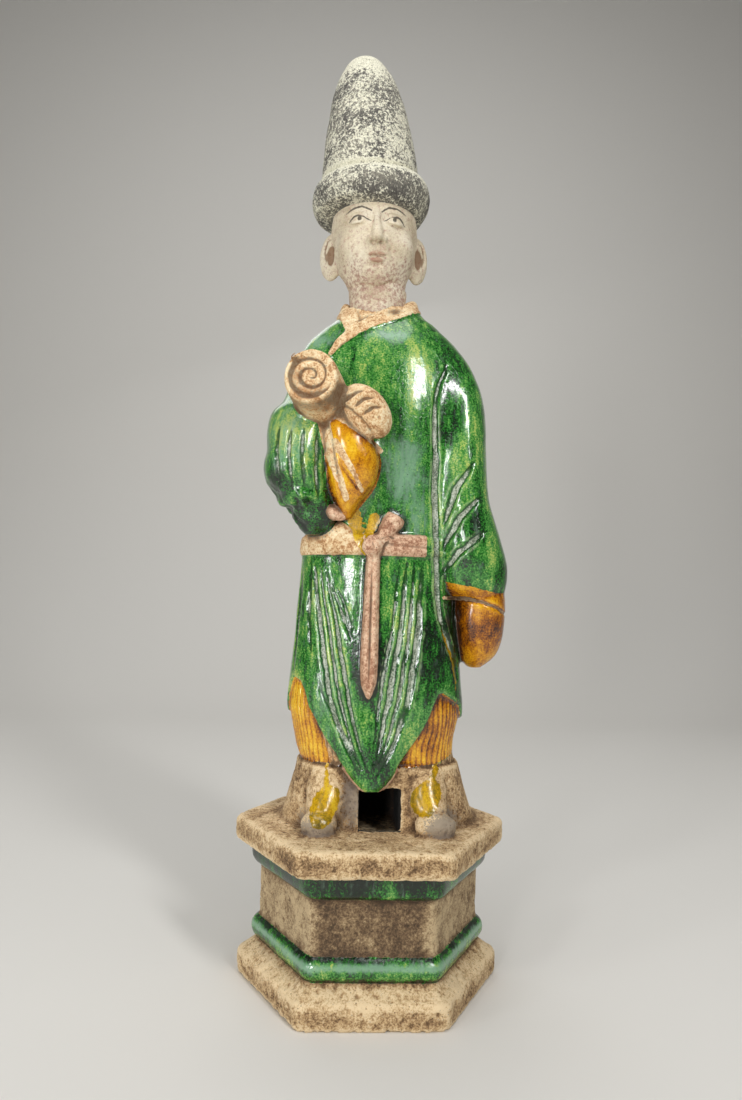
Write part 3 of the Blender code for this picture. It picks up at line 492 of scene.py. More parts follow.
# The socket for the neck plug and the hollow between the boots are cut once the forms are joined.
NECK_X, NECK_Y = -3.8, 0.5


def tapered(radii, base):
    """A round tapering form on the neck's upright axis: radii and heights in millimetres."""
    turn = np.linspace(0, 2 * math.pi, 64, endpoint=False)
    rings = [np.stack([(NECK_X + r * np.cos(turn)) * MM, (NECK_Y + r * np.sin(turn)) * MM,
                       np.full(64, base + h * MM)], axis=1) for r, h in radii]
    return skin_rings(rings)


hollow_outline = [(-45, 0.4), (-25, 0.4), (-23, -4), (14, -4), (14, 40), (-12, 40), (-20, 21), (-25, 17.5)]
hollow_outline += [(-45, 17.5)]
hollow_rings = [np.array([(x * MM, y * MM, SLAB_TOP + h * MM) for y, h in hollow_outline]) for x in (-6.7, 11.9)]
knives = {"socket": tapered([(12.4, 228.2), (15.56, 263.1)], SLAB_TOP), "hollow": skin_rings(hollow_rings)}

body = luted("robed_figure_on_plinth", list(body_forms.values()), BODY_VOXEL, 0)
largest_shell(body)
for knife in knives.values():
    cut_away(body, knife)
edges_rubbed = body.modifiers.new("rub", "REMESH")
edges_rubbed.mode = "VOXEL"
edges_rubbed.voxel_size = BODY_VOXEL
softened = body.modifiers.new("soften", "SMOOTH")
softened.factor = 0.5
softened.iterations = 3
largest_shell(settled(body))

# Which form each point of the skin belongs to decides its glaze, so the distances to all forms are taken
# before the folds are cut. They stop growing at this reach.
REACH = 8.0


def gap_to(points, form):
    """Distance in millimetres from points to a form's skin."""
    tree = BVHTree.FromPolygons(form[0].tolist(), [[int(i) for i in face] for face in form[1]])
    out = np.full(len(points), REACH)
    low, high = form[0].min(axis=0) - REACH * MM, form[0].max(axis=0) + REACH * MM
    for i in np.flatnonzero(((points > low) & (points < high)).all(axis=1)):
        found = tree.find_nearest(points[i].tolist(), REACH * MM)
        if found[3] is not None:
            out[i] = found[3] / MM
    return out


skin = points_of(body.data)
gaps = {name: gap_to(skin, form) for name, form in {**body_forms, **knives}.items()}


def owned(*names):
    """How far inside the named forms' own skin each point lies, in millimetres; less than zero is outside."""
    ours = np.min([gaps[name] for name in names], axis=0)
    others = np.min([gap for name, gap in gaps.items() if name not in (*names, *knives)], axis=0)
    return others - ours


def cloud(points, size, octaves=3, shift=0.0):
    """Seamless noise between about -1 and 1 whose lumps are a given size in millimetres."""
    return np.array([noise.fractal(p, 1.0, 2.0, octaves) for p in (points / (size * MM) + shift).tolist()])


def averaged(mesh, values, times):
    """Values spread to their neighbours along the edges a number of times."""
    pairs = np.empty(len(mesh.edges) * 2, dtype=np.int64)
    mesh.edges.foreach_get("vertices", pairs)
    a, b = pairs.reshape(-1, 2).T
    count = len(mesh.vertices)
    links = np.bincount(a, minlength=count) + np.bincount(b, minlength=count)
    values = values.copy()
    for _ in range(times):
        for k in range(values.shape[1]):
            total = np.bincount(a, values[b, k], count) + np.bincount(b, values[a, k], count)
            values[:, k] = 0.5 * values[:, k] + 0.5 * total / links
    return values


def spot(x, h, middle, half_width, half_height):
    """A soft round patch on the front: 1 in the middle, 0 outside."""
    return bell((x - middle[0]) / half_width) * bell((h - middle[1]) / half_height)


# The joins of the sleeves and the chest, and the crease under the hem, are filled and smoothed with a wet finger
JOIN_WIPES = 220
height = (skin[:, 2] - SLAB_TOP) / MM
filling = 0.9 * spot(skin[:, 0] / MM, height, (28, 200), 6, 16) * (skin[:, 1] < -8 * MM)
skin[:, 1] -= filling * MM
joins = ramp(1.5 - (gaps["torso"] + gaps["hanging_sleeve"]) / 8) * ramp((height - 128) / 16)
joins = np.maximum(joins, ramp(1.3 - (gaps["torso"] + gaps["raised_sleeve"]) / 7) * ramp((height - 196) / 10))
under_hem = ramp(1.4 - (gaps["skirt"] + gaps["block"]) / 5) * ramp((gaps["tongue"] - 3) / 3)
joins = np.maximum(joins, 0.5 * under_hem * ramp((34 - height) / 3) * ramp((height - 20) / 3))
skin += joins[:, None] * (averaged(body.data, skin, JOIN_WIPES) - skin)
move_points(body.data, skin)

# Hem of the green robe round the body: degrees from the front, height in millimetres above the slab
HEM = [(-180, 47), (-130, 49), (-96, 48), (-83, 58), (-67, 66.3), (-56, 65), (-50, 60.5), (-46, 53.6)]
HEM += [(-40, 48), (-34, 40.1), (-26, 32.8), (-19, 27.2), (-12.5, 21.5), (-2.5, 15.6), (4.5, 18.7)]
HEM += [(10.7, 23.1), (15.6, 29.8), (22, 35.6), (28.6, 42.3), (33.5, 49), (36.6, 55), (41, 60.4)]
HEM += [(45, 61), (52, 58.7), (65, 55.1), (79, 48.2), (90, 46.5), (130, 48.5), (180, 47)]
ROBE_HALF_WIDTH, ROBE_HALF_DEPTH = 41, 28
BODY_ARC = 36 * math.pi / 180
PLEAT_PITCH = 2.7

# Lines of cloth on the front, as X and height in millimetres
KNOT_CREASES = [[(-7.5, 131.5), (-4.4, 129), (-3.2, 123.5)], [(-1.2, 129.8), (2.4, 131.6), (6, 131.2)]]
KNOT_CREASES += [[(1.6, 133.5), (4.6, 137.4), (9.4, 138.4)], [(0.6, 123.8), (1.4, 127.4), (3.4, 130)]]
RIGHT_LAPEL = [(16, 249), (6, 242), (-5.5, 235.8), (-14, 230.3), (-22, 223.2), (-26, 217.5)]
LEFT_LAPEL = [(-22.5, 249.5), (-19.6, 243), (-17.5, 236.5), (-16.5, 231)]
LAPELS = ((RIGHT_LAPEL, 8.6, 0.75), (LEFT_LAPEL, 9, 0.3))
SLEEVE_SEAM = [(28.5, 214), (25.4, 206), (23.2, 195.9), (23.4, 184), (24.4, 164.9), (25.4, 141.3)]
SLEEVE_SEAM += [(26.3, 122.5), (27.2, 103.8), (28.8, 94.5), (32.3, 85.4), (36.3, 76.2), (38.3, 67)]
APRON_LEFT = [(-30.9, 121), (-28.4, 103), (-25.4, 81), (-21.4, 58.5), (-14.7, 40.7), (-6.8, 25)]
APRON_LEFT_INNER = [(-24.4, 115), (-21.8, 103), (-17.2, 81), (-12.9, 58.5), (-8.6, 40.7), (-4.3, 30)]
APRON_RIGHT = [(19.6, 121.8), (18.5, 94.5), (16.6, 76.4), (13.4, 56.5), (8.2, 39.8), (1.4, 25.6)]
APRON_RIGHT_INNER = [(8.8, 119), (6.6, 99), (4.4, 82), (1.8, 64), (-0.1, 48), (-1.8, 33)]
APRON_NICKS = [[(-22.4, 111.4), (-18, 98.1), (-11.7, 84.8)], [(-19.3, 108), (-15.2, 97), (-11.9, 88)]]
APRON_NICKS += [[(-25.8, 62), (-18.7, 49), (-11.6, 38), (-7.5, 30)]]
SASH_FOLD = [(-4.1, 122), (-4.3, 92), (-4.1, 61)]
BELT_FOLD = [(0, 128.6), (16, 127.6), (34, 127)]
WRIST_FOLDS = [([(-25.5, 180), (-23.5, 166), (-19, 148)], 1.8, 0.9)]
WRIST_FOLDS += [([(-19.5, 188), (-11.5, 181), (-4, 172.5)], 2.0, 1.2)]
WRIST_FOLDS += [([(-20.5, 161.5), (-15.5, 155.5), (-11, 150.5)], 1.6, 0.8)]
CUFF_GROOVE = [(30, 105), (40, 104.6), (48, 103.4), (55, 101), (63, 96.5)]
FINGERS = [[(-19.2, 189), (-14, 193.4), (-9.6, 194.6)], [(-15.4, 185.6), (-10.6, 190), (-5.2, 191.2)]]
FINGERS += [[(-11.6, 182), (-6.6, 186.2), (-1.6, 187)]]
ROLL_MIDDLE = (-34.1, 198.5)
ROLL_PITCH = 4.2


def cut_folds(points, normals):
    """Two moves along the normals in millimetres: laid-on edges, and folds cut with the gouge."""
    sway = 0.9 * cloud(points, 17, 2, 11.0)
    x, y, h = points[:, 0] / MM + sway, points[:, 1] / MM, (points[:, 2] - SLAB_TOP) / MM
    front = ramp((0.25 - normals[:, 1]) / 0.35)
    back = ramp((normals[:, 1] - 0.1) / 0.4)
    laid, cut = np.zeros(len(x)), np.zeros(len(x))
    angle = np.degrees(np.arctan2(x / ROBE_HALF_WIDTH, -y / ROBE_HALF_DEPTH))
    away, side, _ = near_line(angle * BODY_ARC, h, [(a * BODY_ARC, height) for a, height in HEM])
    hem = away * side
    on_robe = ramp((h - 26.5) / 1.5) * ramp((72 - h) / 3) * (np.abs(x) < 44) * (y > -29.5)
    laid -= 1.7 * ramp(0.5 - hem / 1.2) * on_robe
    pleats = np.maximum(0, np.cos((angle * BODY_ARC + 1.4 * sway) * 2 * math.pi / PLEAT_PITCH)) ** 2
    laid -= 0.6 * on_robe * ramp(-hem / 2) * pleats
    for lapel, width, narrowing in LAPELS:
        away, _, share = near_line(x, h, lapel)
        laid += ramp(0.5 + (width * (1 - narrowing * share**2) / 2 - away) / 1.1) * front * (y < 2)
    cut += gouge(x, h, SLEEVE_SEAM, 2.9, 1.9) * front
    apron = (h < 121) * (h > 22) * (y < -18) * front * (x < 24)
    for line, width in zip(fold_family(APRON_LEFT, APRON_LEFT_INNER, 3), (2.6, 1.5, 2.2)):
        cut += gouge(x, h, line, width, 1.3) * apron
    for line, width in zip(fold_family(APRON_RIGHT, APRON_RIGHT_INNER, 4), (3.1, 1.8, 2.8, 1.5)):
        cut += gouge(x, h, line, width, 1.3) * apron
    for line in APRON_NICKS:
        cut += gouge(x, h, line, 1.7, 1.1) * apron
    for line in fold_family([(-32, 121), (-32.5, 98), (-31, 78)], [(-36.5, 117), (-38, 92), (-38.5, 68)], 2):
        cut += gouge(x, h, line, 1.9, 0.8) * (h < 121) * (y < -8)
    laid += gouge(x - sway, h, SASH_FOLD, 1.9, 1.3) * (y < -29) * front
    laid += gouge(x, h, BELT_FOLD, 1.8, 0.6) * (y < -20) * front
    for crease in KNOT_CREASES:
        laid += gouge(x - sway, h, crease, 1.5, 0.9) * (y < -27) * front
    right_arm = (x > 26) * front * (h > 108)
    for line in fold_family([(42, 168), (34.5, 156), (29, 139)], [(48, 136), (36, 126), (28.5, 116)], 3):
        cut += gouge(x, h, line, 2.9, 1.5) * right_arm
    left_arm = (x < -22) * (y < -12) * front * (h < 184)
    for line in fold_family([(-47, 179), (-48.5, 168), (-47, 154)], [(-30, 177), (-30.5, 160), (-29, 147)], 4):
        cut += gouge(x, h, line, 1.9, 1.2) * left_arm
    for line, width, depth in WRIST_FOLDS:
        laid += gouge(x, h, line, width, depth) * (y < -30) * front
    for finger in FINGERS:
        laid += gouge(x - sway, h, finger, 2.3, 1.7) * (y < -38) * front
    east, up = x - ROLL_MIDDLE[0], h - ROLL_MIDDLE[1]
    reach = np.hypot(east, up)
    winding = (reach / ROLL_PITCH - np.arctan2(up, east) / (2 * math.pi)) % 1.0
    spiral = bell((winding - 0.5) * ROLL_PITCH / 0.75) * ramp(10.2 - reach) * ramp(reach / 2)
    laid -= 1.0 * spiral * (y < -44)
    laid += gouge(x - sway, h, CUFF_GROOVE, 1.8, 1.2) * (h < 112) * (x > 33)
    for line in fold_family([(-26, 116), (-29, 90), (-33, 58)], [(26, 116), (29, 90), (33, 58)], 7):
        cut += gouge(x, h, line, 5.0, 1.1) * back * (h < 120)
    for line in fold_family([(-24, 222), (-16, 190), (-6, 140)], [(20, 222), (13, 190), (5, 140)], 4):
        cut += gouge(x, h, line, 5.5, 1.0) * back * (h > 134)
    cut *= 0.85 + 0.5 * cloud(points, 8, 2, 4.0)
    laid += 2.8 * cloud(points, 7, 2, 8.0) * spot(x, h, (-42, 144), 17, 10) * (y < 0)
    return laid, cut, hem


def mark(mesh, name, values):
    """Keeps one number for each point of a mesh, for the material to read."""
    mesh.attributes.new(name, "FLOAT", "POINT").data.foreach_set("value", values.astype(np.float32))


normals = points_of(body.data, "normal")
laid, cut, hem = cut_folds(skin, normals)
x, y, h = skin[:, 0] / MM, skin[:, 1] / MM, (skin[:, 2] - SLAB_TOP) / MM
facing = normals[:, 1] < 0.35

stand_clay = owned("stand", "block", "left_boot", "right_boot", "left_boot_toe", "right_boot_toe")
table = skin[:, 2] / MM
# The stand's glazed torus and cove, and the bare waist between them, by height above the table
TORUS_BAND, WAIST_BAND, COVE_BAND = (16.0, 26.2), (26.2, 49.6), (49.6, 60.0)


def inside_band(band):
    """How far each point lies inside a band of the stand; less than zero is above or below it."""
    return np.minimum(table - band[0], band[1] - table)


bands = np.minimum(np.maximum(inside_band(TORUS_BAND), inside_band(COVE_BAND)), owned("stand"))
lapel = np.full(len(x), -REACH)
for line, width, narrowing in LAPELS:
    away, _, passed = near_line(x, h, line)
    lapel = np.maximum(lapel, np.where(facing & (y < 2), width * (1 - narrowing * passed**2) / 2 - away, -REACH))
away, above, _ = near_line(x, h, RIGHT_LAPEL)
beside, right_of, _ = near_line(x, h, LEFT_LAPEL)
inner_collar = np.where(facing & (y < 0) & (h > 226), np.minimum(-away * above, beside * right_of), -REACH)
under_robe = np.minimum(owned("skirt"), np.where(h < 72, -hem, -REACH))
under_tip = np.minimum(owned("tongue"), -hem)


def strokes(x, h, lines):
    """How far inside a set of brush strokes on the front each point lies; each stroke narrows to its end."""
    inside = np.full(len(x), -REACH)
    for line, width in lines:
        away, _, passed = near_line(x, h, line)
        inside = np.maximum(inside, np.where(facing, width / 2 * (1.15 - 0.6 * passed) - away, -REACH))
    return inside


# Streaks of clay left without glaze along the inner sleeve's edge and folds, and yellow runs of glaze
BARE_STREAKS = [([(-28.2, 183), (-26.1, 172.7), (-23.1, 162.9), (-19.4, 154.3), (-16.9, 147.6)], 4.8)]
BARE_STREAKS += [([(-22.6, 171.8), (-17.9, 164.9), (-13.3, 157.5), (-10, 151.3)], 3.0)]
BARE_STREAKS += [([(-24.5, 187), (-16.3, 181.2), (-9.5, 176.3), (-1.7, 171)], 5.0)]
streaks = np.where(y < -26, strokes(x, h, BARE_STREAKS), -REACH)
instep_left = (1 - np.hypot((x + 22 - 0.3 * (h - 12)) / 6.2, (h - 12) / 8.2)) * 6.2
instep_right = (1 - np.hypot((x - 23 - 0.3 * (h - 15.5)) / 6.6, (h - 15.5) / 7.4)) * 6.6
drips = strokes(x, h, (([(-21.5, 18), (-22, 30)], 2.2), ([(24, 20), (30.4, 30)], 3.4)))
insteps = np.where(facing & (h > 2) & (h < 29), np.maximum.reduce([instep_left, instep_right, drips]), -REACH)
insteps = np.minimum(insteps, stand_clay)
cuff_band = np.minimum(owned("hanging_sleeve", "hanging_cuff"), 109 - h + 0.2 * (48 - x))
cuff_rim = np.where(y < 13, strokes(x, h, [(CUFF_GROOVE, 1.5)]), -REACH)
WORN_HEM = [([(-18, 30), (-21.8, 39), (-25, 48)], 5.0)]
worn_hem = np.maximum(5 * spot(x, h, (36, 62), 5, 3) - 2.6, strokes(x, h, WORN_HEM))
worn_hem = np.minimum(under_robe, worn_hem)
OLIVE_RUNS = [([(-13.4, 142), (-11.2, 134), (-9.5, 128)], 6.0), ([(-3.6, 140), (-6, 132), (-7.8, 124.5)], 4.4)]
OLIVE_RUNS += [([(39.6, 52), (37.6, 66), (34.5, 78), (29.6, 90)], 2.0)]
olive = np.where(y < -14, strokes(x, h, OLIVE_RUNS), -REACH)

zones = {
    "amber": np.maximum.reduce([owned("inner_sleeve", "hanging_cuff"), under_robe, cuff_band]),
    "straw": np.maximum(insteps, np.minimum(olive, 1.0 + owned("torso", "skirt", "belt", "hanging_sleeve"))),
    "cream": np.maximum.reduce([owned("hand", "bundle", "collar"), lapel, inner_collar, streaks, cuff_rim, worn_hem,
                                np.minimum(owned("belt", "belt_end"), -9 - x)]),
    "pink": np.maximum.reduce([owned("sash", "knot", "knot_end", "flap"), under_tip,
                               np.minimum(owned("belt", "belt_end", "sash"), np.maximum(21 - x, y + 5))]),
    "stand": np.minimum(stand_clay, -bands),
    "waist": np.minimum(owned("stand"), inside_band(WAIST_BAND)),
    # Inside the hollow between the boots: near-black, a painted shadow
    "hollow": np.min([gaps[name] for name in body_forms], axis=0) - np.min([gaps[name] for name in knives], axis=0),
}

def patches(rows):
    """Adds up soft patches: weight, X and height of the middle, half width, half height, and the Y
    that the patch stays in front of."""
    return sum(weight * spot(x, h, (u, v), wide, tall) * (y < before) for weight, u, v, wide, tall, before in rows)


# Darker pools of glaze, and painted shade under the raised sleeve's bottom and beside the hanging cuff, are above
# zero; thin yellowish glaze is below zero
POOLS_AND_SHADE = [(1.3, 29.3, 180.6, 3.5, 5, 8), (1.0, 58, 116, 8, 6, 8), (-1.3, -42, 174, 12, 13, 8)]
POOLS_AND_SHADE += [(-0.4, 0, 210, 16, 14, 8), (1.5, -34, 138, 16, 9, -4), (1.2, -50, 156, 8, 10, 8)]
POOLS_AND_SHADE += [(0.7, 36, 88, 10, 26, 0), (0.6, -1, 66, 12, 14, 8), (-1.1, 12, 218, 3.4, 16, 8)]
POOLS_AND_SHADE += [(-1.1, 31.5, 169, 3.4, 8, 8), (-0.7, -37, 62, 3, 10, 8), (-0.5, 16, 44, 5, 12, 8)]
POOLS_AND_SHADE += [(0.9, 33, 92, 5, 14, -4), (0.9, 52, 92, 16, 16, 8), (1.3, -2, 28, 12, 12, -10)]
POOLS_AND_SHADE += [(1.1, 26, 72, 8, 20, 0), (0.3, 31.5, 196, 5, 18, 8), (-1.0, 12, 196, 2.2, 9, 8)]
pool = patches(POOLS_AND_SHADE)
pool += 0.9 * bell((gaps["sash"] - 0.7) / 0.8) * (y < -20) + 1.4 * bell((gaps["knot_end"] - 1.6) / 1.3) * (y < -20)
upright = 1 - np.abs(normals[:, 2])
# Painted shade on the stand: upright faces darker than tops, darkest near the table and on the slab's upper front
# face; the glazed torus darker along its upper and lower edges; the glazed cove under the slab dark all round. The
# bare waist is darker at its front middle than at its sides, and noise makes all of it uneven.
stand_shade = 0.8 * upright - 0.5 - 0.7 * (table < TORUS_BAND[0]) + 1.3 * cloud(skin, 15, 3, 2.2)
stand_shade += 1.0 * ramp((7 - table) / 4) * upright + 0.5 * (y < -40) * (table > 58) * upright
waist_tone = 0.6 + 0.8 * cloud(skin, 12, 3, 6.1) - 1.7 * ramp((np.abs(x + 2) - 20) / 8)
torus_shade = 0.4 + 0.9 * ramp((np.abs(table - 21) - 2.8) / 1.6) + 0.8 * cloud(skin, 6, 3, 4.4)
cove_shade = 1.25 + 0.7 * cloud(skin, 7, 3, 5.5)
for band, run_over, band_value in ((WAIST_BAND, 0, waist_tone), (TORUS_BAND, 0, torus_shade),
                                  (COVE_BAND, 0.2, cove_shade)):
    stand_shade = np.where(inside_band(band) > -run_over, band_value, stand_shade)
pool = np.where(stand_clay > 0, stand_shade, pool)

# Grey ash on the boots and painted shade beside the hollow, milky glaze with painted sheen and a painted torus
# highlight, and darker patches in the clay
# Grey ash on the toes; the grey patch beside the hollow between the boots is painted shade
ash = patches([(1.0, -25, 3, 8, 5, -14), (1.0, 30, 4, 8, 6, -14), (0.8, -9.5, 14, 5, 12, -14)])
ash *= ramp(1.2 - np.min([gaps[name] for name in body_forms if name not in ("stand", "tongue")], axis=0) / 1.5)
MILKY_AND_SHEEN = [(1.0, 9.6, 163, 9, 17, 4), (0.9, -33.7, 225.8, 9, 5, 4), (0.7, -8.5, 157, 4, 13, 4)]
MILKY_AND_SHEEN += [(0.9, 3.8, 227, 9, 3.5, 4), (0.7, 17, 140, 6, 9, 4), (0.5, -40, 200, 8, 18, 4)]
MILKY_AND_SHEEN += [(0.6, -44, 172, 10, 14, 4), (0.4, -22, 64, 7, 24, 4)]
# The glazed torus gets a pale band along its middle, a painted highlight; on the figure, patches of milky glaze that
# also paint the pale sheen of broad reflections
milk = np.where((table < 27) & (stand_clay > 0), 1.1 * bell((table - 22.6) / 1.6), patches(MILKY_AND_SHEEN))
# Darker patches on the bundle's lower part and inner end, between the bundle and the hand, at the collar, on the
# upper chest and by the flap
DARK_PATCHES = [(1.0, -31, 188.5, 13, 5, 0), (0.8, -41, 198, 4, 9, 0), (1.2, -20.6, 192.6, 3.4, 5, 0)]
DARK_PATCHES += [(0.9, 4.1, 240.5, 4, 3, 0), (0.6, -20, 222, 5, 5, 0), (0.5, -27, 141, 5, 4, 0)]
dirt = patches(DARK_PATCHES)

unglazed = np.maximum.reduce([zones[name] for name in ("cream", "pink", "stand", "waist")])
glazed = ramp(np.maximum(-unglazed, zones["straw"]))
lumps = 0.16 * cloud(skin, 11) * (0.4 + 0.6 * glazed) + 0.05 * cloud(skin, 2.6)
pitted = ramp(zones["stand"] + 0.5) * (1 - glazed)
pits = np.minimum(0, cloud(skin, 2.2, 3, 7.3) + 0.12) * 0.75 * pitted
wear = np.minimum(0, cloud(skin, 7.0, 4, 3.1)) * 0.5 * pitted
grain = 0.06 * cloud(skin, 0.9, 2) * (1 - glazed)
depth = (laid + cut + lumps + pits + wear + grain) * MM
carved_skin = skin + normals * depth[:, None]
lowest, highest = (np.array(corner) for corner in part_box("figure_on_plinth"))
carved_skin = np.clip(carved_skin, lowest, highest)
# The underside is rubbed level on a board, so that the figure stands firm
RUBBED_LEVEL = 0.7
carved_skin[:, 2] = np.where(carved_skin[:, 2] < RUBBED_LEVEL * MM, 0.0, carved_skin[:, 2])
move_points(body.data, carved_skin)

proud = ((carved_skin - averaged(body.data, carved_skin, 22)) * points_of(body.data, "normal")).sum(axis=1) / MM
wear_marks = {"cut": cut * ramp(glazed * 2) * (1 - 0.65 * ramp((y - 4) / 6)), "proud": proud, "pool": pool,
              "ash": ash, "milk": milk, "dirt": dirt}
for name, values in {**zones, **wear_marks}.items():
    mark(body.data, name, np.clip(values, -REACH, REACH))
thinned(body, BODY_TRIANGLES)
move_points(body.data, np.clip(points_of(body.data), lowest, highest))
body.data.shade_smooth()
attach(body, "root")
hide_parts("figure_on_plinth")


# Lead-glazed earthenware: coarse buff clay under a copper-green and an iron-amber glaze that ran down while
# hot. The glaze is glassy, thin and pale on the ridges and dark where it pools; bare clay is matt and gritty.
# Besides the glaze's own pools and thin places, the colours hold painted shade, painted sheen and painted highlights.
PER_MM = 1000
LEAD_GLAZE_IOR = 1.62
pottery = bpy.data.materials.new("lead_glazed_earthenware")
pottery.use_nodes = True
tree = pottery.node_tree
shader = tree.nodes["Principled BSDF"]
place = add(tree, "TexCoord").outputs["Object"]
run_down = add(tree, "Mapping", Vector=place, Scale=(1, 1, 0.3))
field = {name: add(tree, "Attribute", {"attribute_name": name}).outputs["Fac"]
         for name in (*zones, *wear_marks)}
blotch = add(tree, "TexNoise", Vector=run_down, Scale=PER_MM / 11, Detail=3.0, Distortion=0.8)
mottle = add(tree, "TexNoise", Vector=run_down, Scale=PER_MM / 2.6, Detail=4.0, Roughness=0.65)
speckle = add(tree, "TexNoise", Vector=place, Scale=PER_MM / 0.8, Detail=2.0, Roughness=0.7)
wander = add(tree, "TexNoise", Vector=place, Scale=PER_MM / 2.2, Detail=3.0)
stain = add(tree, "TexNoise", Vector=place, Scale=PER_MM / 7, Detail=4.0, Roughness=0.6, Distortion=0.6)
grit = add(tree, "TexNoise", Vector=place, Scale=PER_MM / 1.6, Detail=3.0, Roughness=0.65)
crackle = add(tree, "TexVoronoi", {"feature": "DISTANCE_TO_EDGE"}, Vector=place, Scale=PER_MM / 1.7)
iron_spots = add(tree, "TexVoronoi", Vector=place, Scale=PER_MM / 2.4)


def weighed(tree, start, *terms):
    """Adds up sockets times weights, starting from a number."""
    total = start
    for source, weight in terms:
        total = add(tree, "Math", {"operation": "MULTIPLY_ADD"}, Value=source, Value_001=weight, Value_002=total)
    return total


def stepped(tree, source, low, high):
    """Rises softly from 0 to 1 while the source goes from low to high."""
    return add(tree, "MapRange", {"interpolation_type": "SMOOTHSTEP"}, Value=source, From_Min=low, From_Max=high)


def layered(tree, under, over, share, strength=1.0):
    """One colour laid over another by a share, and no stronger than given."""
    if strength != 1.0:
        share = weighed(tree, 0.0, (share, strength))
    return add(tree, "Mix", {"data_type": "RGBA"}, A_Color=under, B_Color=over, Factor_Float=share)


thickness = weighed(tree, -1.88, (blotch, 1.5), (mottle, 1.6), (speckle, 1.7), (field["pool"], 0.36),
                    (field["proud"], -0.5))
green = add(tree, "ValToRGB", {"stops": [
    (0.0, "#a9bc62"), (0.1, "#87a952"), (0.28, "#5a9746"), (0.48, "#367e2e"), (0.66, "#1e5f1c"),
    (0.84, "#0d3b0e"), (1.0, "#041606")]}, Fac=thickness)
# Milky glaze, which also paints sheen on the figure and a highlight along the torus
milky_and_sheen_share = stepped(tree, weighed(tree, -1.1, (field["milk"], 0.75), (mottle, 1.5), (stain, 0.6)), 0.0, 0.8)
green = layered(tree, green, linear("#89b093"), milky_and_sheen_share, 0.75)
# Beside and in the cuts: pale glaze on the lips, which also paints their highlights; dark glaze down the sides,
# pooled glaze and painted shade; and a worn grey core that pales towards white as a painted highlight
lip_pale_and_highlight_share = stepped(tree, weighed(tree, -0.12, (field["cut"], 1.0), (wander, 0.25)), 0.05, 0.2)
green = layered(tree, green, linear("#b3c795"), lip_pale_and_highlight_share, 0.4)
groove_side_pool_and_shade_share = stepped(tree, weighed(tree, -0.25, (field["cut"], -1.0), (wander, 0.5)), 0.1, 0.35)
green = layered(tree, green, linear("#143716"), groove_side_pool_and_shade_share, 0.75)
groove_core_share = stepped(tree, weighed(tree, -0.9, (field["cut"], -1.0), (wander, 0.6), (grit, 0.3)), 0.1, 0.5)
groove_core_and_highlight = add(tree, "ValToRGB", {"stops": [
    (0.3, "#46594a"), (0.47, "#9cad94"), (0.62, "#e0e7d6")]}, Fac=weighed(tree, -0.55, (speckle, 1.2), (mottle, 0.9)))
green = layered(tree, green, groove_core_and_highlight, groove_core_share, 0.85)

amber_depth = weighed(tree, -1.3, (blotch, 1.2), (stain, 0.8), (mottle, 0.6), (speckle, 1.0), (field["proud"], -0.7),
                      (field["pool"], 0.4))
amber = add(tree, "ValToRGB", {"stops": [
    (0.0, "#f4cc38"), (0.25, "#e4ac18"), (0.5, "#cb8809"), (0.75, "#935205"), (1.0, "#421f04")]}, Fac=amber_depth)
straw = add(tree, "ValToRGB", {"stops": [
    (0.2, "#d9b526"), (0.45, "#bd920e"), (0.7, "#8d740f"), (1.0, "#564a10")]},
            Fac=weighed(tree, -1.1, (blotch, 1.3), (mottle, 1.1), (speckle, 0.9)))
clay_tone = weighed(tree, -0.62, (stain, 0.9), (grit, 0.9), (speckle, 0.4))
cream = add(tree, "ValToRGB", {"stops": [
    (0.3, "#a87a4c"), (0.42, "#d3aa7c"), (0.55, "#e6cb9e"), (0.75, "#f3e4c0")]}, Fac=clay_tone)
pink = add(tree, "ValToRGB", {"stops": [
    (0.3, "#9a6c50"), (0.44, "#c69c7e"), (0.56, "#dbb596"), (0.75, "#ecd4b4")]}, Fac=clay_tone)
# Bare buff and brown clay: paler on proud edges, darker in hollows, and darker under the stand's painted shade
buff_tone = weighed(tree, -0.33, (stain, 0.5), (grit, 0.55), (speckle, 0.65), (field["proud"], 0.45),
                    (field["pool"], -0.13))
buff = add(tree, "ValToRGB", {"stops": [
    (0.25, "#5c4327"), (0.42, "#957650"), (0.55, "#bb9c70"), (0.75, "#e2c9a0")]}, Fac=buff_tone)
# Grey ash on the toes, and painted shade beside the hollow
ash_and_shade_share = stepped(tree, weighed(tree, -1.75, (field["ash"], 1.5), (grit, 1.7), (speckle, 1.2)), 0.0, 0.5)
buff = layered(tree, buff, linear("#7b7268"), ash_and_shade_share, 0.8)
brown_tone = weighed(tree, -0.2, (stain, 0.6), (grit, 0.45), (speckle, 0.5), (field["proud"], 0.3),
                     (field["pool"], -0.16))
brown = add(tree, "ValToRGB", {"stops": [
    (0.3, "#3d2d19"), (0.48, "#644d34"), (0.64, "#8c7453"), (0.85, "#c0a983")]}, Fac=brown_tone)
# Bare clay turns dark brown in recesses and creases and in the darker patches, less so on the stand
recess_darkening = stepped(tree, weighed(tree, 0.0, (field["proud"], -0.8), (grit, 0.6), (speckle, 0.3),
                              (field["dirt"], 0.5)), 0.5, 0.86)

spread = {"amber": 0.9, "straw": 2.4, "cream": 1.0, "pink": 0.7, "stand": 1.2, "waist": 0.8, "hollow": 0.3}
share = {}
for name, width in spread.items():
    share[name] = stepped(tree, weighed(tree, -0.5 * width, (wander, width), (field[name], 1.0)), -0.12, 0.12)
colour, bare = green, weighed(tree, 0.0, (groove_core_share, 0.3))
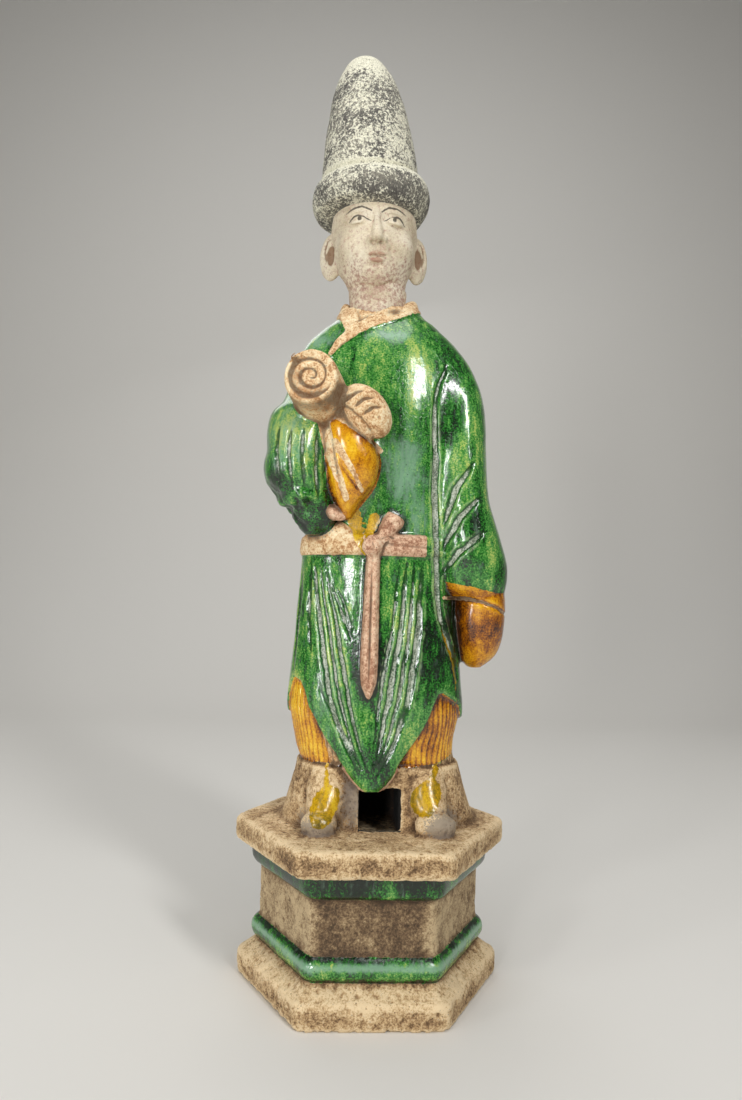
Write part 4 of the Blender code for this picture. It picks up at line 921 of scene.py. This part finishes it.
# The hollow's near-black colour is a painted shadow.
for name, paint, dryness in (("amber", amber, 0.0), ("pink", pink, 1.0), ("cream", cream, 1.0),
                             ("stand", buff, 1.0), ("waist", brown, 1.0), ("straw", straw, 0.1),
                             ("hollow", linear("#0b0907"), 1.0)):
    colour = layered(tree, colour, paint, share[name])
    bare = add(tree, "Mix", A_Float=bare, B_Float=dryness, Factor_Float=share[name])
recess_darkening_on_bare = add(tree, "Math", {"operation": "MULTIPLY"}, Value=recess_darkening, Value_001=bare)
on_stand = add(tree, "Math", {"operation": "MAXIMUM"}, Value=share["stand"], Value_001=share["waist"])
recess_darkening_share = add(tree, "Mix", A_Float=weighed(tree, 0.0, (recess_darkening_on_bare, 0.8)), B_Float=weighed(tree, 0.0, (recess_darkening_on_bare, 0.3)),
                  Factor_Float=on_stand)
colour = layered(tree, colour, linear("#4e331b"), recess_darkening_share)
dots = stepped(tree, iron_spots, 0.16, 0.07)
colour = layered(tree, colour, linear("#2c1a0c"), dots, 0.6)
glaze_rough = weighed(tree, 0.02, (mottle, 0.2), (add(tree, "Clamp", Value=field["pool"]), 0.05))
rough = add(tree, "Mix", A_Float=glaze_rough, B_Float=0.88, Factor_Float=bare)
glaze_height = weighed(tree, 0.0, (blotch, 0.5), (mottle, 0.12), (stepped(tree, crackle, 0.0, 0.05), 0.03))
clay_height = weighed(tree, 0.0, (grit, 0.6), (speckle, 0.4))
height = add(tree, "Mix", A_Float=glaze_height, B_Float=clay_height, Factor_Float=bare)
bump = add(tree, "Bump", Height=height, Strength=1.0, Distance=0.0004)
fed(tree, shader, Base_Color=colour, Roughness=rough, IOR=LEAD_GLAZE_IOR, Normal=bump)
body.data.materials.clear()
body.data.materials.append(pottery)


# The head, its round-brimmed tall hat and the neck plug that drops into the collar: one piece of the same clay,
# pressed in a two-part mould, with ears, lids and lips modelled on by hand. It was fired without glaze.
COLLAR_TOP = 0.3244
HEAD_VOXEL = 0.0005
HEAD_TRIANGLES = 180000
FACE_X = -5.8
EYES_MIDDLE = -6
EYE_APART = 8.4
EYE_TURN = 30

head_forms = {}
head_forms["neck"] = moulded(
    [(-1.5, -17.6, 10, -12.6, 13.6), (3, -17.9, 10.1, -13, 13.8), (6, -18.8, 10, -13.6, 14.6),
     (10, -20.4, 10, -14, 15.6), (16, -22.4, 10.2, -12, 17), (24, -23.4, 10, -10, 18.5)], COLLAR_TOP, 2.1)
head_forms["skull"] = pinched((-6.3, 1.5, 33), (21.6, 22.6, 25), COLLAR_TOP)
head_forms["face"] = pinched((-5.9, -4.4, 20.0), (19.5, 18.4, 20.0), COLLAR_TOP)
head_forms["chin"] = pinched((-5.7, -14.4, 7.2), (8.0, 5.8, 5.4), COLLAR_TOP)
head_forms["nose"] = rolled(
    [(-5.9, -19.4, 35, 2.2), (-5.9, -21.4, 30, 2.1), (-5.8, -23, 25.5, 2.3), (-5.8, -24, 22, 2.7)], COLLAR_TOP)
head_forms["nose_tip"] = pinched((-5.8, -24.3, 20.9), (2.8, 3.0, 2.4), COLLAR_TOP)
head_forms["lower_lip"] = pinched((-5.7, -19.7, 11.5), (4.0, 2.4, 1.6), COLLAR_TOP)
for hand, side in (("left", -1), ("right", 1)):
    head_forms[hand + "_cheek"] = pinched((-5.9 + side * 9.0, -13.0, 21.0), (10, 7.4, 10), COLLAR_TOP)
    head_forms[hand + "_jaw"] = pinched((-6.2 + side * 7.5, -5, 12), (8.6, 12, 8), COLLAR_TOP)
    head_forms[hand + "_nostril"] = pinched((-5.8 + side * 3.3, -22.3, 20.6), (2.0, 2.4, 1.8), COLLAR_TOP)
    head_forms[hand + "_upper_lip"] = pinched(
        (-5.7 + side * 1.9, -20.6, 14.1), (3.3, 2.1, 1.3), COLLAR_TOP, (0, side * 10, side * 8))
    turn_out = math.radians(side * EYE_TURN)
    eye_x = EYES_MIDDLE + side * EYE_APART
    head_forms[hand + "_brow"] = pinched(
        (eye_x, -17.4, 36), (7, 2.8, 1.7), COLLAR_TOP, (0, side * 6, side * EYE_TURN))
    head_forms[hand + "_eye"] = pinched(
        (eye_x, -17.2, 30.9), (4.8, 3.3, 2.6), COLLAR_TOP, (0, side * 4, side * EYE_TURN))
    for lid, rise, radius in (("upper_lid", 1.9, 0.75), ("lower_lid", -1.5, 0.6)):
        stations = []
        for t in np.linspace(-1, 1, 9):
            across, out = 4.9 * t, -3.0 * (1 - t * t) - 0.5
            stations.append((eye_x + across * math.cos(turn_out) - out * math.sin(turn_out),
                             -17.3 + across * math.sin(turn_out) + out * math.cos(turn_out),
                             30.7 + rise * (1 - t * t), radius * (1 - 0.45 * t * t)))
        head_forms[hand + "_" + lid] = rolled(stations, COLLAR_TOP, 16, 3)
    head_forms[hand + "_ear"] = pinched(
        (-27.4 if side < 0 else 15.4, 2.0, 21.6), (2.7, 7.6, 11.8), COLLAR_TOP, (0, side * 3, -side * 48))
head_forms["hat"] = moulded(
    [(53, -33.8, 15.8, -24.5, 26), (59.6, -33.4, 15, -24.2, 25.5), (65.9, -33.2, 14.5, -23.7, 25),
     (73.8, -32.7, 13.2, -23, 24), (81.6, -32.2, 11.5, -22, 22.5), (89.6, -31, 9.5, -20.5, 20.8),
     (97.5, -30.1, 7.4, -18.8, 19), (104.5, -28.6, 5, -16.8, 16.8), (111, -26.6, 2.2, -14.2, 14.2),
     (116, -24.6, -1, -11.6, 11.8), (119.5, -22.8, -3.2, -9.4, 9.6), (122.2, -20.4, -5.4, -7, 7.4),
     (124, -17.5, -8.4, -4.2, 4.6), (124.8, -15.2, -11, -2, 2.4), (125, -13.6, -12.6, -0.4, 0.6)],
    COLLAR_TOP, 2.1, 128)
head_forms["brim"] = leaned(moulded(
    [(40.2, -30, 14, -20.5, 22.5), (41, -32.6, 16.4, -23.2, 25.2), (43, -35, 18.6, -25.6, 27.6),
     (46, -37, 20.4, -27.4, 29.4), (49.5, -37.9, 21.2, -28.4, 30.4), (53, -37.5, 20.8, -28, 30),
     (56, -36.4, 19.6, -26.8, 28.8), (58, -34.6, 17.6, -25, 27), (59, -31.5, 14, -22, 24)],
    COLLAR_TOP, 2.1, 128), COLLAR_TOP, 40, 44, 0.05, 0.03, 0.03)
head_forms["plug"] = tapered([(12.0, -24), (14.52, 3.5)], COLLAR_TOP)

head = luted("head_with_brimmed_hat", list(head_forms.values()), HEAD_VOXEL, 3)
largest_shell(head)
skin = points_of(head.data)
gaps = {name: gap_to(skin, form) for name, form in head_forms.items()}
# The cheeks, jaw and neck are smoothed into one another with a wet finger, and the features stay crisp
FACE_WIPES = 240
PLAIN_FORMS = ("skull", "face", "neck", "chin", "cheek", "jaw", "brow")
features_off = np.min([gap for name, gap in gaps.items() if not name.endswith(PLAIN_FORMS)], axis=0)
wiped = ramp((features_off - 0.6) / 2.4)
skin += wiped[:, None] * (averaged(head.data, skin, FACE_WIPES) - skin)
move_points(head.data, skin)
normals = points_of(head.data, "normal")
x, y, k = skin[:, 0] / MM, skin[:, 1] / MM, (skin[:, 2] - COLLAR_TOP) / MM
front = ramp((0.1 - normals[:, 1]) / 0.3) * (k < 40) * (y < -8)
features, ears, ink = np.zeros(len(x)), np.zeros(len(x)), np.full(len(x), -REACH)
for side in (-1, 1):
    eye_x = EYES_MIDDLE + side * EYE_APART
    crease = [(eye_x - 5, 32.6), (eye_x - 2, 34.4), (eye_x + 2, 34.4), (eye_x + 5, 32.6)]
    features += gouge(x, k, crease, 1.1, 0.5) * front
    features -= 0.8 * spot(x, k, (eye_x - side * 5.2, 31.3), 2.2, 2.4) * front
    fold = [(FACE_X + side * 4.6, 21.5), (FACE_X + side * 6.6, 17.5), (FACE_X + side * 7.6, 13.5)]
    features += gouge(x, k, fold, 2.4, 0.45) * front
    nostril = spot(x, y, (FACE_X + side * 1.9, -22.6), 0.9, 1.2) * (k < 21) * (k > 17)
    features -= 1.1 * nostril * ramp(-normals[:, 2] * 2)
    ear_x = -28.6 if side < 0 else 16.8
    outward = (np.abs(x + 5.9) > 19) * (y < 6) * (k < 36) * (k > 8)
    facing_ear = ramp((0.2 - normals[:, 1]) / 0.4) * outward
    bowl = [(ear_x - 0.8 * side, 26.5), (ear_x - 0.2 * side, 22), (ear_x - 0.8 * side, 16.5)]
    ears += gouge(x, k, bowl, 4.0, 1.8) * facing_ear
    rim = [(ear_x - 1.6 * side, 30.6), (ear_x + 1.4 * side, 29.4), (ear_x + 2.7 * side, 24), (ear_x + 1.8 * side, 17)]
    ears += gouge(x, k, rim, 1.5, 0.8) * facing_ear
    arch = [(eye_x - 6.2, 35.4 - side * 0.5), (eye_x - 3, 37.3), (eye_x + 1, 37.8), (eye_x + 5.6, 36.0 + side * 0.5)]
    lash = [(eye_x - 4.8, 30.9), (eye_x - 2.4, 32.2), (eye_x, 32.6), (eye_x + 2.4, 32.2), (eye_x + 5.4, 30.8)]
    for line, width in ((arch, 0.95), (lash, 0.8)):
        away, _, share_passed = near_line(x, k, line)
        ink = np.maximum(ink, width / 2 * (1.2 - 0.5 * np.abs(2 * share_passed - 1)) - away)
    ink = np.maximum(ink, 0.95 - np.hypot(x - eye_x, k - 31.2))
features += gouge(x, k, [(-10.6, 13.3), (-8, 12.8), (-5.7, 13.1), (-3.4, 12.8), (-0.8, 13.3)], 1.0, 0.9) * front
features += gouge(x, k, [(FACE_X, 19.4), (FACE_X, 15.6)], 2.0, 0.5) * front
features += gouge(x, k, [(-9.4, 8.7), (FACE_X, 9.3), (-2.2, 8.7)], 2.2, 0.55) * front
ink = np.where((y < -8) & (normals[:, 1] < 0.2), ink, -REACH)
lips = np.min([gaps["lower_lip"], gaps["left_upper_lip"], gaps["right_upper_lip"]], axis=0)
other_skin = np.min([gap for name, gap in gaps.items() if not name.endswith("lip")], axis=0)
hat_crease = 59.2 + 0.05 * x + 0.03 * y
features -= 0.9 * bell(k - hat_crease)
on_hat = owned("hat", "brim")
dents = 0.28 * cloud(skin, 16, 2, 5.0) * ramp(on_hat) + 0.1 * cloud(skin, 4, 3)
scratches = 0.05 * cloud(skin, 1.0, 2, 9.0)
moved = skin + normals * ((features + ears + dents + scratches) * MM)[:, None]
lowest, highest = (np.array(corner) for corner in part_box("head_with_hat"))
moved = np.clip(moved, lowest, highest)
move_points(head.data, moved)
proud = ((moved - averaged(head.data, moved, 26)) * points_of(head.data, "normal")).sum(axis=1) / MM

# How much of the pale slip still shows on the hat: most at the tip and along the brim's top edge
scuffed = 0.95 * ramp((k - 100) / 20) + 1.3 * spot(np.hypot(x + 8, y), k, (28, 57.5), 9, 3.2) * (k < 60)
scuffed += 0.25 * spot(x, k, (0, 72), 14, 12) * (y < 0) - 0.5 * spot(x, k, (2, 47), 20, 5) * (y < 0)
paint_marks = {"hat": on_hat, "ink": ink, "lips": other_skin - lips, "ear": -ears, "proud": proud,
               "scuffed": scuffed, "low": 1 - ramp((k - 2) / 20)}
for name, values in paint_marks.items():
    mark(head.data, name, np.clip(values, -REACH, REACH))
thinned(head, HEAD_TRIANGLES)
move_points(head.data, np.clip(points_of(head.data), lowest, highest))
head.data.shade_smooth()
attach(head, "root")
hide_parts("head_with_hat")


# Bare fired clay painted cold: cream-white slip, black on the hat, and thin brush lines on the face. The paint is
# powdery and matt, rubbed through to pinkish clay, and the slip shows through the worn black.
FIRED_CLAY_IOR = 1.5
painted = bpy.data.materials.new("cold_painted_fired_clay")
painted.use_nodes = True
tree = painted.node_tree
shader = tree.nodes["Principled BSDF"]
place = add(tree, "TexCoord").outputs["Object"]
field = {name: add(tree, "Attribute", {"attribute_name": name}).outputs["Fac"] for name in paint_marks}
broad = add(tree, "TexNoise", Vector=place, Scale=PER_MM / 13, Detail=3.0)
flaked = add(tree, "TexNoise", Vector=place, Scale=PER_MM / 1.8, Detail=6.0, Roughness=0.72)
dusty = add(tree, "TexNoise", Vector=place, Scale=PER_MM / 0.75, Detail=2.0, Roughness=0.7)
slip = add(tree, "ValToRGB", {"stops": [
    (0.3, "#b9a98c"), (0.5, "#d8cbb0"), (0.7, "#e6ddc8")]}, Fac=weighed(tree, -0.2, (broad, 0.8), (dusty, 0.6)))
pink_clay = add(tree, "ValToRGB", {"stops": [
    (0.3, "#8b6a58"), (0.5, "#b19080"), (0.7, "#cbaf9d")]}, Fac=dusty)
rubbed = stepped(tree, weighed(tree, 0.0, (flaked, 1.0), (dusty, 0.35), (field["low"], 0.09),
                               (field["proud"], -0.05)), 0.685, 0.85)
colour = layered(tree, slip, pink_clay, rubbed)
ear_brown = stepped(tree, weighed(tree, -0.2, (field["ear"], 0.8), (flaked, 0.4)), 0.25, 0.6)
colour = layered(tree, colour, linear("#7d583a"), ear_brown, 0.8)
red = stepped(tree, weighed(tree, -0.9, (field["lips"], 1.0), (flaked, 1.2)), -0.25, 0.35)
colour = layered(tree, colour, linear("#a36a55"), red, 0.6)
line_paint = stepped(tree, weighed(tree, -0.25, (field["ink"], 1.0), (flaked, 0.5)), -0.12, 0.12)
colour = layered(tree, colour, linear("#2f2923"), line_paint, 0.85)
black = add(tree, "ValToRGB", {"stops": [
    (0.3, "#423f3c"), (0.5, "#66635c"), (0.7, "#938e7e")]}, Fac=weighed(tree, -0.2, (broad, 0.8), (dusty, 0.6)))
hat_slip = add(tree, "ValToRGB", {"stops": [(0.35, "#b5b19b"), (0.5, "#d8d5c0"), (0.7, "#ece9d6")]}, Fac=dusty)
worn_through = stepped(tree, weighed(tree, 0.0, (flaked, 1.0), (dusty, 0.5), (broad, 0.35), (field["scuffed"], 0.22),
                                     (field["proud"], 0.12)), 0.89, 1.03)
hat_colour = layered(tree, black, hat_slip, worn_through)
hat_share = stepped(tree, weighed(tree, -0.3, (flaked, 0.6), (field["hat"], 1.0)), -0.15, 0.15)
colour = layered(tree, colour, hat_colour, hat_share)
height = weighed(tree, 0.0, (flaked, 0.5), (dusty, 0.35), (worn_through, 0.12), (rubbed, -0.12))
bump = add(tree, "Bump", Height=height, Strength=1.0, Distance=0.0003)
rough = weighed(tree, 0.78, (flaked, 0.25))
fed(tree, shader, Base_Color=colour, Roughness=rough, IOR=FIRED_CLAY_IOR, Normal=bump)
head.data.materials.clear()
head.data.materials.append(painted)
